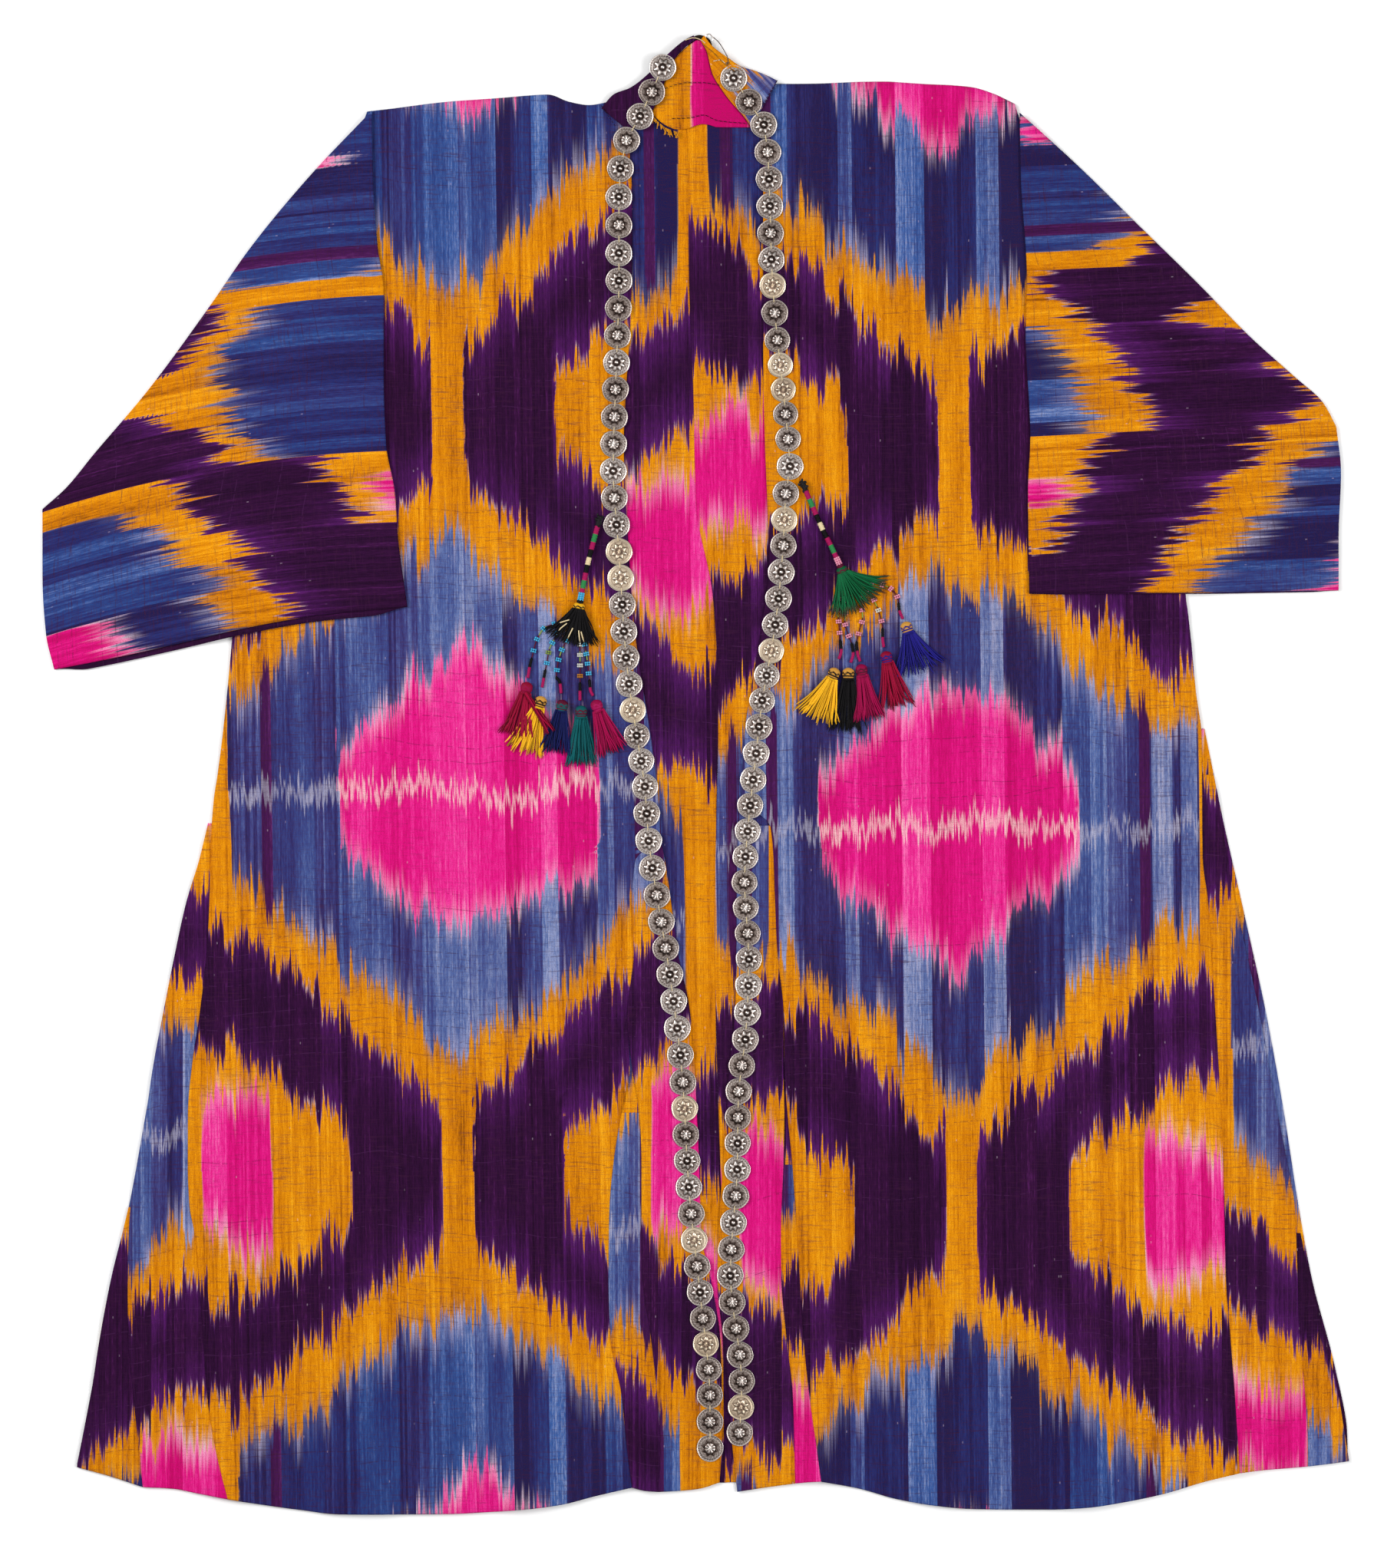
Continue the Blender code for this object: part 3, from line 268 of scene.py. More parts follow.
@dataclass(frozen=True)
class LoomPlace:
    """Where a panel was cut from the loom, and how its blue deepens."""
    axis_top: float            # X of the loom's axis at the shoulder
    axis_hem: float            # and at the hem
    centre: float              # Y of a medallion's middle
    seed: int                  # keeps its random threads apart from the other panels'
    cut: LoomCut = LoomCut()
    turn: float = 0.0          # degrees the warp leans from the length of the robe
    deep: float = 0.6          # how much deeper its blue is at the shoulder and at the hem

    def coordinates(self, x, y) -> tuple:
        """Distances across the loom from its axis, and along the warp from a medallion."""
        share = (SHOULDER_Y - y) / ROBE_LENGTH
        axis = self.axis_top + (self.axis_hem - self.axis_top) * share
        across, run = x - axis, y - self.centre
        sine, cosine = math.sin(math.radians(self.turn)), math.cos(math.radians(self.turn))
        return across * cosine - run * sine, across * sine + run * cosine

    def paint(self, plan) -> tuple:
        """Loom coordinates, dye fields and stripe field of plan points (..., 2).

        The third loom coordinate is how deep the blue is: up to deep at the shoulder and the hem,
        and up to 2 at the shoulder near the loom's edge.
        """
        u, v = self.coordinates(plan[..., 0], plan[..., 1])
        high = smooth_step((plan[..., 1] - 260.0) / 180.0)
        low = smooth_step((-440.0 - plan[..., 1]) / 70.0)
        loom_edge = 2.0 * high * smooth_step((np.abs(u) - 156.0) / 10.0) * (self.deep > 0)
        deep = np.maximum(self.deep * np.maximum(high, low), loom_edge)
        loom = np.stack([u + SEED_APART * self.seed, v, deep], axis=-1)
        return loom, dye_fields(u, v, self.cut), stripe_field(u, v, self.cut)


@dataclass(frozen=True)
class SleeveLoom:
    """The three widths a sleeve is pieced from, warp along the arm.

    The lower width starts at the seam line with its loom edge. The middle one lies between that
    seam and the next, its axis axis_off above the seam. The upper one starts at the second seam.
    """
    seam: tuple                # a point of the seam line
    slope: float               # rise of the seam line for each mm towards +X
    middle_width: float
    axis_off: float
    centres: tuple             # X of a medallion's middle: lower, middle, upper width
    cuts: tuple                # LoomCut of the lower, middle and upper width
    motifs: tuple
    seed: int
    lean: float = 0.0506       # rise of the warp for each mm towards +X, where its dyes lie
    bulge: float = 0.0         # how far the seam rises above its line in its middle

    def below_seam(self, plan) -> tuple:
        """Distance below the lower seam line, and along the warp."""
        turn, lean = math.atan(self.slope), math.atan(self.lean)
        dx, dy = plan[..., 0] - self.seam[0], plan[..., 1] - self.seam[1]
        share = np.clip(dx / 300.0, 0, 1)
        down = dx * math.sin(turn) - dy * math.cos(turn) + 4 * self.bulge * share * (1 - share)
        return down, dx * math.cos(lean) + dy * math.sin(lean)

    def paint(self, plan, width) -> tuple:
        """Loom coordinates and fields; width is which of the three each point is in (0, 1, 2)."""
        down, warp = self.below_seam(plan)
        turn = math.atan(self.slope)
        u = np.choose(width, (LOOM_EDGE - down, down + self.axis_off,
                              LOOM_EDGE + self.middle_width + down))
        v = warp + self.seam[0] - np.choose(width, self.centres)
        dye, stripe = dye_fields(u, v, self.cuts[0]), stripe_field(u, v, self.cuts[0])
        for k in (1, 2):
            here = (width == k)[..., None]
            dye = np.where(here, dye_fields(u, v, self.cuts[k]), dye)
            stripe = np.where(here, stripe_field(u, v, self.cuts[k]), stripe)
        for motif in self.motifs:
            dx, dy = plan[..., 0] - motif.x, plan[..., 1] - motif.y
            across = np.abs(dx * math.sin(turn) - dy * math.cos(turn))
            run = np.abs(dx * math.cos(turn) + dy * math.sin(turn))
            inside = np.minimum(motif.half_warp * (1.15 - across / motif.half_weft) - run,
                                (motif.half_weft - across) * EDGE)
            if motif.dye is Dye.PURPLE:
                dye = np.minimum(dye, -inside[..., None])
            else:
                dye[..., motif.dye] = np.maximum(dye[..., motif.dye], inside)
        own = u + np.choose(width, WIDTH_APART) + SEED_APART * self.seed
        loom = np.stack([own, v, np.full_like(u, SLEEVE_DEPTH)], axis=-1)
        return loom, np.clip(dye, -DEEP, DEEP), stripe


NO_STRIPE = -99                # a stripe place that no cloth reaches
LOOM_PLACES = {
    "front_left": LoomPlace(-214, -197, -14, 1,
                            LoomCut(heart_off=14, trims=(46, 55), blunt=-1, blue_edge=190,
                                    core_edge=157, core_far=217)),
    "front_right": LoomPlace(216, 228, -44, 2,
                             LoomCut(heart_off=-8, trims=(48, 62), blunt=1, blue_edge=204,
                                     core_edge=154, core_trim=7, core_side=1)),
    "back_left": LoomPlace(-192, -180, -127, 3, LoomCut(stripe=152, core_edge=128, core_trim=10)),
    "back_right": LoomPlace(192, 204, -66, 4,
                            LoomCut(blue_edge=183, stripe=167, core_edge=128, core_trim=12)),
    "back_gore_left": LoomPlace(-612, -612, -306, 5),
    "back_gore_right": LoomPlace(630, 630, -220, 6),
    "side_gore_left": LoomPlace(-622, -622, -306, 7, LoomCut(stripe=NO_STRIPE, blue_edge=200)),
    "side_gore_right": LoomPlace(630, 630, -232, 8,
                                 LoomCut(stripe=NO_STRIPE, core_edge=113, core_trim=18,
                                         lozenge_edge=50)),
    "outer_gore_left": LoomPlace(-445, -445, -158, 9),
    "outer_gore_right": LoomPlace(470, 470, -88, 10),
    "front_gore_left": LoomPlace(-189, -189, 3, 11),
    "front_gore_right": LoomPlace(-115, -115, -48, 12),
    "inset_left": LoomPlace(115, 115, -381, 13, LoomCut(blue_edge=200)),
    "inset_right": LoomPlace(-85, -85, -268, 14),
    "collar_left": LoomPlace(-95, -95, 870, 15),
    "collar_right": LoomPlace(190.7, 190.7, 427.9, 16, turn=-43.5, deep=0.0),
    "neck_facing": LoomPlace(-156, -156, 905, 19),
}
SLEEVE_LOOMS = {
    "sleeve_left": SleeveLoom(
        (-552.5, 222), 0.173, 130, 71, (-565, -180, -333),
        (LoomCut(stripe=NO_STRIPE, core=False, lozenge_edge=133, lozenge_trim=30, pink_edge=88,
                 trims=(31, 31)),
         LoomCut(heart=False),
         LoomCut(heart=False, stripe=155, stripe_reach=300)),
        (Motif(-316, 517, 9, 6, Dye.PINK), Motif(-258, 238, 16, 21, Dye.PINK),
         Motif(-505, 375, 97, 105, Dye.PURPLE), Motif(-455, 320, 200, 13.5, Dye.YELLOW)),
        24, lean=0.06, bulge=11.0),
    "sleeve_right": SleeveLoom(
        (282.8, 285.7), 0.0506, 140, 2, (601, 130, 268),
        (LoomCut(core=False, lozenge_trim=34, trims=(24, 24)),
         LoomCut(heart=False, bar=False, lozenge_edge=77, lozenge_trim=70),
         LoomCut(heart=False, stripe_reach=300)),
        (Motif(290, 545, 22, 12, Dye.PINK), Motif(505, 394, 88, 25, Dye.YELLOW),
         Motif(557, 348, 62, 30, Dye.YELLOW), Motif(288, 238, 16, 12, Dye.PINK)),
        22),
}


# ---------------------------------------------------------------- creases
# Soft ridges and troughs of the cloth: x, y of both ends, half width, height (mm).
CREASES = (
    (245, 396, 330, 384, 9, 1.3), (330, 384, 300, 360, 12, 0.9), (218, 316, 282, 330, 10, 1.5),
    (282, 330, 292, 352, 8, 1.0), (-330, 60, -395, -20, 12, 0.9), (-300, -150, -350, -210, 16, 0.8),
    (-120, -120, -100, -240, 14, 0.8), (150, -60, 180, -170, 16, 0.8), (300, -40, 260, -160, 14, 0.7),
    (350, -120, 400, -200, 15, 0.9), (130, 300, 180, 240, 14, 0.7), (-180, 330, -140, 250, 14, 0.7),
    (-420, 360, -350, 330, 14, 1.0), (-500, 210, -430, 190, 15, 1.1), (-360, 250, -300, 215, 12, 0.9),
    (420, 330, 350, 350, 13, 0.9), (500, 240, 430, 250, 15, 1.1), (360, 210, 310, 190, 12, 0.8),
    (-200, -330, -230, -450, 20, 1.0), (250, -320, 270, -460, 18, 0.9), (140, -420, 150, -560, 15, 0.8),
    (-350, -380, -360, -520, 18, 1.0), (400, -330, 410, -480, 16, 0.9), (-450, -420, -465, -560, 10, 0.8),
    (500, -400, 515, -560, 10, 0.8), (-160, 480, -120, 420, 13, 0.7), (160, 500, 190, 430, 14, 0.8),
)
LOWEST_RELIEF = -0.25          # a trough deeper than this would cross the layer below


def relief(x, y) -> np.ndarray:
    """Height that the cloth's cockling and creases add, never so low that layers cross.

    The cockling is two products of sines, each bent by another sine. A crease is a Gaussian ridge
    along its line, with a shallow trough beside it, and it fades in and out at its ends.
    """
    lift = 0.16 * np.sin(x / 23 + 1.3 * np.sin(y / 71)) * np.sin(y / 37 + 1.1 * np.sin(x / 53))
    lift = lift + 0.10 * np.sin(x / 9.1 + y / 31) * np.sin(y / 13.7 - x / 41)
    for ax, ay, bx, by, half, height in CREASES:
        run = np.hypot(bx - ax, by - ay)
        t = ((x - ax) * (bx - ax) + (y - ay) * (by - ay)) / run ** 2
        off = ((x - ax) * (by - ay) - (y - ay) * (bx - ax)) / run
        off = off + 3.0 * np.sin(t * 5.0 + ax)
        fade = smooth_step(t / 0.3 + 0.5) * smooth_step((1 - t) / 0.3 + 0.5)
        lift = lift + height * fade * np.exp(-(off / (half * 0.55)) ** 2)
        lift = lift - 0.2 * height * fade * np.exp(-((off - half) / (half * 0.5)) ** 2)
    return np.maximum(lift, LOWEST_RELIEF)


# ---------------------------------------------------------------- meshes
BLOB_RINGS, BLOB_SIDES = 5, 8
BLOB_POLE = 0.02               # an ellipsoid's first ring lies this far from its pole, in radians
# What an attribute of so many numbers is called.
LAYER_KINDS = {1: ("FLOAT", "value"), 3: ("FLOAT_VECTOR", "vector"), 4: ("FLOAT_COLOR", "color")}


def placed(name: str, data: bpy.types.ID) -> bpy.types.Object:
    """A new object in the scene for a mesh, a light or a camera."""
    thing = bpy.data.objects.new(name, data)
    bpy.context.scene.collection.objects.link(thing)
    return thing


def grid_quads(rows: int, columns: int, closed: bool = False) -> np.ndarray:
    """Quads of a grid of points; closed joins its last column to its first."""
    index = np.arange(rows * columns).reshape(rows, columns)
    if closed:
        index = np.concatenate([index, index[:, :1]], axis=1)
    corners = [index[:-1, :-1], index[:-1, 1:], index[1:, 1:], index[1:, :-1]]
    return np.stack(corners, axis=-1).reshape(-1, 4)


def shell_quads(rows: int, columns: int) -> np.ndarray:
    """Quads of two grids, the second under the first, joined round their edge.

    Row 0 is the upper edge on the page and column 0 the left one.
    """
    top = grid_quads(rows, columns)[:, ::-1]
    index = np.arange(rows * columns).reshape(rows, columns)
    rim = np.concatenate([index[0, :-1], index[:-1, -1], index[-1, :0:-1], index[:0:-1, 0]])
    ahead = np.roll(rim, -1)
    under = rows * columns
    side = np.stack([rim, ahead, ahead + under, rim + under], axis=-1)
    return np.concatenate([top, top[:, ::-1] + under, side])


def many(quads: np.ndarray, count: int, size: int) -> np.ndarray:
    """The quads of count equal bodies of size points each."""
    return (quads[None] + np.arange(count)[:, None, None] * size).reshape(-1, 4)


def coloured(colour: tuple, shades, per: int) -> np.ndarray:
    """One colour for each point of many equal bodies, each a little lighter or darker."""
    table = np.clip(np.array(colour[:3])[None] * np.asarray(shades)[:, None], 0, 1)
    return np.repeat(np.concatenate([table, np.ones((len(table), 1))], axis=1), per, axis=0)


class MeshParts:
    """Collects points, quads and their attributes, then joins them into one object."""

    def __init__(self) -> None:
        """Starts empty."""
        self.points, self.quads, self.slots, self.layers, self.count = [], [], [], {}, 0

    def add(self, points, quads, slot: int = 0, **layers) -> None:
        """Adds one body.

        Args:
            points: array of points, in mm.
            quads: its quads, as numbers of its own points.
            slot: which of the object's materials it wears.
            layers: attributes, each one row for all the points or a row for each.
        """
        points = np.asarray(points, float).reshape(-1, 3)
        self.points.append(points)
        self.quads.append(np.asarray(quads) + self.count)
        self.slots.append(np.full(len(quads), slot))
        for name, values in layers.items():
            values = np.asarray(values, float)
            spread = np.broadcast_to(values, (len(points), values.shape[-1]))
            self.layers.setdefault(name, []).append((self.count, spread))
        self.count += len(points)

    def add_shell(self, plan, level, paint: tuple) -> None:
        """Adds a closed thin shell under a grid of plan points lifted to their levels.

        Args:
            plan: grid of points (rows, columns, 2).
            level: height of each point.
            paint: its loom coordinates, dye fields and stripe field.
        """
        top = lifted(plan, level)
        under = top - (0.0, 0.0, CLOTH)
        both = [np.concatenate([layer.reshape(-1, layer.shape[-1])] * 2) for layer in paint]
        self.add(np.stack([top, under]), shell_quads(*top.shape[:2]),
                 loom=both[0], dye=both[1], stripe=both[2])

    def add_tubes(self, routes, radii, sides: int = 5, slot: int = 0, height: float = 1.0,
                  **layers) -> None:
        """Adds many tubes: a ring across the way at each step of each route.

        Args:
            routes: their middle lines (count, steps, 3).
            radii: one radius for all, or an array that fits (count, steps).
            sides: points of a ring.
            slot: which of the object's materials they wear.
            height: how high a tube is for its width, about the level its route starts at.
            layers: attributes, as add takes them.
        """
        count, steps = routes.shape[:2]
        heading = np.gradient(routes, axis=1)
        heading /= np.linalg.norm(heading, axis=-1, keepdims=True) + 1e-9
        side = np.cross(heading, (0.0, 0.0, 1.0))
        side /= np.linalg.norm(side, axis=-1, keepdims=True) + 1e-9
        up = np.cross(side, heading)
        turn = 2 * math.pi * np.arange(sides) / sides
        ring = side[:, :, None] * np.cos(turn)[:, None] + up[:, :, None] * np.sin(turn)[:, None]
        radii = np.broadcast_to(radii, (count, steps))
        points = routes[:, :, None] + ring * radii[:, :, None, None]
        if height != 1.0:
            level = routes[0, 0, 2]
            points[..., 2] = level + (points[..., 2] - level) * height
        quads = grid_quads(steps, sides, closed=True)
        self.add(points, many(quads, count, steps * sides), slot, **layers)

    def add_blobs(self, centres, sizes, slot: int = 0, **layers) -> None:
        """Adds many small ellipsoids: the unit sphere times three half sizes each.

        Args:
            centres: their middles (count, 3).
            sizes: their half sizes (count, 3).
            slot: which of the object's materials they wear.
            layers: attributes, as add takes them.
        """
        polar = np.linspace(BLOB_POLE, math.pi - BLOB_POLE, BLOB_RINGS)[:, None]
        turn = 2 * math.pi * np.arange(BLOB_SIDES) / BLOB_SIDES
        unit = np.stack([np.sin(polar) * np.cos(turn), np.sin(polar) * np.sin(turn),
                         np.broadcast_to(np.cos(polar), (BLOB_RINGS, BLOB_SIDES))], axis=-1)
        points = np.asarray(centres)[:, None, None] + unit[None] * np.asarray(sizes)[:, None, None]
        quads = grid_quads(BLOB_RINGS, BLOB_SIDES, closed=True)
        self.add(points, many(quads, len(points), BLOB_RINGS * BLOB_SIDES), slot, **layers)

    def build(self, name: str, materials: tuple) -> bpy.types.Object:
        """One smooth object of everything that was added."""
        points = np.concatenate(self.points) * MM
        quads = np.concatenate(self.quads)
        mesh = bpy.data.meshes.new(name)
        mesh.vertices.add(len(points))
        mesh.vertices.foreach_set("co", points.astype(np.float32).ravel())
        mesh.loops.add(quads.size)
        mesh.loops.foreach_set("vertex_index", quads.astype(np.int32).ravel())
        mesh.polygons.add(len(quads))
        mesh.polygons.foreach_set("loop_start", np.arange(0, quads.size, 4, dtype=np.int32))
        mesh.polygons.foreach_set("material_index", np.concatenate(self.slots).astype(np.int32))
        mesh.polygons.foreach_set("use_smooth", np.ones(len(quads), bool))
        for key, values in self.layers.items():
            data = np.ones((len(points), values[0][1].shape[1]), np.float32)
            for start, table in values:
                data[start:start + len(table)] = table
            kind, slot = LAYER_KINDS[data.shape[1]]
            mesh.attributes.new(key, kind, "POINT").data.foreach_set(slot, data.ravel())
        mesh.update(calc_edges=True)
        for material in materials:
            mesh.materials.append(material)
        return placed(name, mesh)


# ---------------------------------------------------------------- materials
@dataclass(frozen=True)
class Finish:
    """A surface's name, and the settings of its shader that differ from the defaults."""
    name: str
    settings: tuple


# Matt and dry, with only a breath of sheen, so the eye reads unglazed silk and cotton.
HANDWOVEN = Finish("handwoven_ikat", (("Roughness", 0.75), ("Sheen Weight", 0.02),
                                      ("Sheen Roughness", 0.5), ("Specular IOR Level", 0.035)))
# All metal; how dark and how polished it is comes from its stamped relief.
SILVER = Finish("oxidised_silver", (("Metallic", 1.0),))
# Soft, with a faint shine, so bundles of strands look like floss and not like plastic.
FLOSS = Finish("dyed_floss", (("Roughness", 0.6), ("Specular IOR Level", 0.1)))
# Glossy under a thin coat, for the small hard glints of beads.
GLASS = Finish("glass_seed_beads", (("Roughness", 0.12), ("Coat Weight", 0.5),
                                    ("Coat Roughness", 0.05)))
# Flat white that shows only the robe's soft shadow.
PAPER = Finish("white_table_paper", (("Roughness", 0.9), ("Specular IOR Level", 0.1)))


# Widths of what shares a random step across the warp, in mm.
BLOCK, NARROW_BLOCK, THREAD_PAIR, ONE_THREAD = 17.0, 4.3, 1.7, 0.9
DASH_ROWS = 12.5               # distance between two rows of dashes along the warp


class Signal:
    """An output of a node. Arithmetic on it adds Math nodes."""

    def __init__(self, shade: "Shade", socket: bpy.types.NodeSocket) -> None:
        """Keeps the material it belongs to and the socket itself."""
        self.shade, self.socket = shade, socket

    def __add__(self, other) -> "Signal":
        """Sum."""
        return self.shade.math("ADD", self, other)

    def __sub__(self, other) -> "Signal":
        """Difference."""
        return self.shade.math("SUBTRACT", self, other)

    def __mul__(self, other) -> "Signal":
        """Product."""
        return self.shade.math("MULTIPLY", self, other)

    def __truediv__(self, other) -> "Signal":
        """Quotient."""
        return self.shade.math("DIVIDE", self, other)

    def __pow__(self, other) -> "Signal":
        """Power."""
        return self.shade.math("POWER", self, other)

    def __abs__(self) -> "Signal":
        """Size without its sign."""
        return self.shade.math("ABSOLUTE", self)

    def whole(self) -> "Signal":
        """The whole number below it."""
        return self.shade.math("FLOOR", self)

    def scaled(self, by, plus) -> "Signal":
        """Itself times by, plus a number or another signal."""
        return self.shade.math("MULTIPLY_ADD", self, by, plus)

    def centred(self, reach: float) -> "Signal":
        """A value from 0 to 1, turned into a shift from -reach / 2 to reach / 2."""
        return self.scaled(reach, -reach / 2)

    def step(self, low, high, to_low=0.0, to_high=1.0) -> "Signal":
        """Smooth step from to_low, at low, to to_high, at high."""
        sockets = {0: self, 1: low, 2: high, 3: to_low, 4: to_high}
        return self.shade.add("ShaderNodeMapRange", sockets, interpolation_type="SMOOTHSTEP")

    def fade(self, low, high) -> "Signal":
        """1 at low, fading to 0 at high."""
        return self.step(low, high, 1.0, 0.0)


class Shade:
    """A Principled material and short ways to add its nodes."""

    def __init__(self, finish: Finish) -> None:
        """Makes the material and gives its shader the finish's settings."""
        self.material = bpy.data.materials.new(finish.name)
        self.material.use_nodes = True
        self.tree = self.material.node_tree
        self.shader = self.tree.nodes["Principled BSDF"]
        for key, value in finish.settings:
            self.shader.inputs[key].default_value = value

    def add(self, kind: str, inputs=(), output: int = 0, **settings) -> Signal:
        """Adds one node.

        Args:
            kind: its type.
            inputs: a dict of socket to a value or to another node's signal.
            output: which of its outputs is wanted.
            settings: the node's own properties.
        """
        node = self.tree.nodes.new(kind)
        for key, value in settings.items():
            setattr(node, key, value)
        for key, value in dict(inputs).items():
            if isinstance(value, Signal):
                self.tree.links.new(value.socket, node.inputs[key])
            else:
                node.inputs[key].default_value = value
        return Signal(self, node.outputs[output])

    def math(self, operation: str, *values, clamp: bool = False) -> Signal:
        """A Math node; clamp keeps its result between 0 and 1."""
        return self.add("ShaderNodeMath", dict(enumerate(values)), operation=operation,
                        use_clamp=clamp)

    def mix(self, factor, a, b, blend: str = "MIX") -> Signal:
        """Colour a, mixed with colour b by a factor."""
        return self.add("ShaderNodeMix", {0: factor, 6: a, 7: b}, output=2, data_type="RGBA",
                        blend_type=blend)

    def noise(self, where: Signal, scale: float, detail: float = 2.0,
              rough: float = 0.5) -> Signal:
        """Smooth noise of a number."""
        sockets = {"W": where, "Scale": scale, "Detail": detail, "Roughness": rough}
        return self.add("ShaderNodeTexNoise", sockets, noise_dimensions="1D")

    def noise_at(self, place: Signal, scale: float = 1.0, detail: float = 2.0,
                 rough: float = 0.5) -> Signal:
        """Smooth noise of a place."""
        sockets = {"Vector": place, "Scale": scale, "Detail": detail, "Roughness": rough}
        return self.add("ShaderNodeTexNoise", sockets, noise_dimensions="3D")

    def dice(self, where: Signal) -> Signal:
        """One random number, from 0 to 1, for each whole number."""
        return self.add("ShaderNodeTexWhiteNoise", {"W": where}, noise_dimensions="1D")

    def ramp(self, factor: Signal, *stops) -> Signal:
        """A colour ramp of (place, hex colour) stops."""
        node = self.tree.nodes.new("ShaderNodeValToRGB")
        self.tree.links.new(factor.socket, node.inputs[0])
        band = node.color_ramp
        while len(band.elements) < len(stops):
            band.elements.new(0.5)
        for element, (place, colour) in zip(band.elements, stops):
            element.position, element.color = place, srgb(colour)
        return Signal(self, node.outputs[0])

    def here(self) -> Signal:
        """The place of a point, in the object's own metres."""
        return self.add("ShaderNodeTexCoord", output=3)

    def attribute(self, name: str, output: int = 0) -> Signal:
        """An attribute kept on the mesh: 0 as a colour, 1 as a vector, 2 as a number."""
        return self.add("ShaderNodeAttribute", attribute_name=name, output=output)

    def split(self, name: str) -> list:
        """The three numbers of a vector attribute."""
        node = self.tree.nodes.new("ShaderNodeSeparateXYZ")
        self.tree.links.new(self.attribute(name, 1).socket, node.inputs[0])
        return [Signal(self, socket) for socket in node.outputs]

    def bump(self, height: Signal, strength: float, distance: float) -> Signal:
        """A normal bent by a height, whose unit is distance mm."""
        return self.add("ShaderNodeBump", {"Height": height, "Strength": strength,
                                           "Distance": distance * MM})

    def finish(self, **links) -> bpy.types.Material:
        """Links signals to the shader's inputs and returns the material."""
        for key, signal in links.items():
            self.tree.links.new(signal.socket, self.shader.inputs[key.replace("_", " ")])
        return self.material


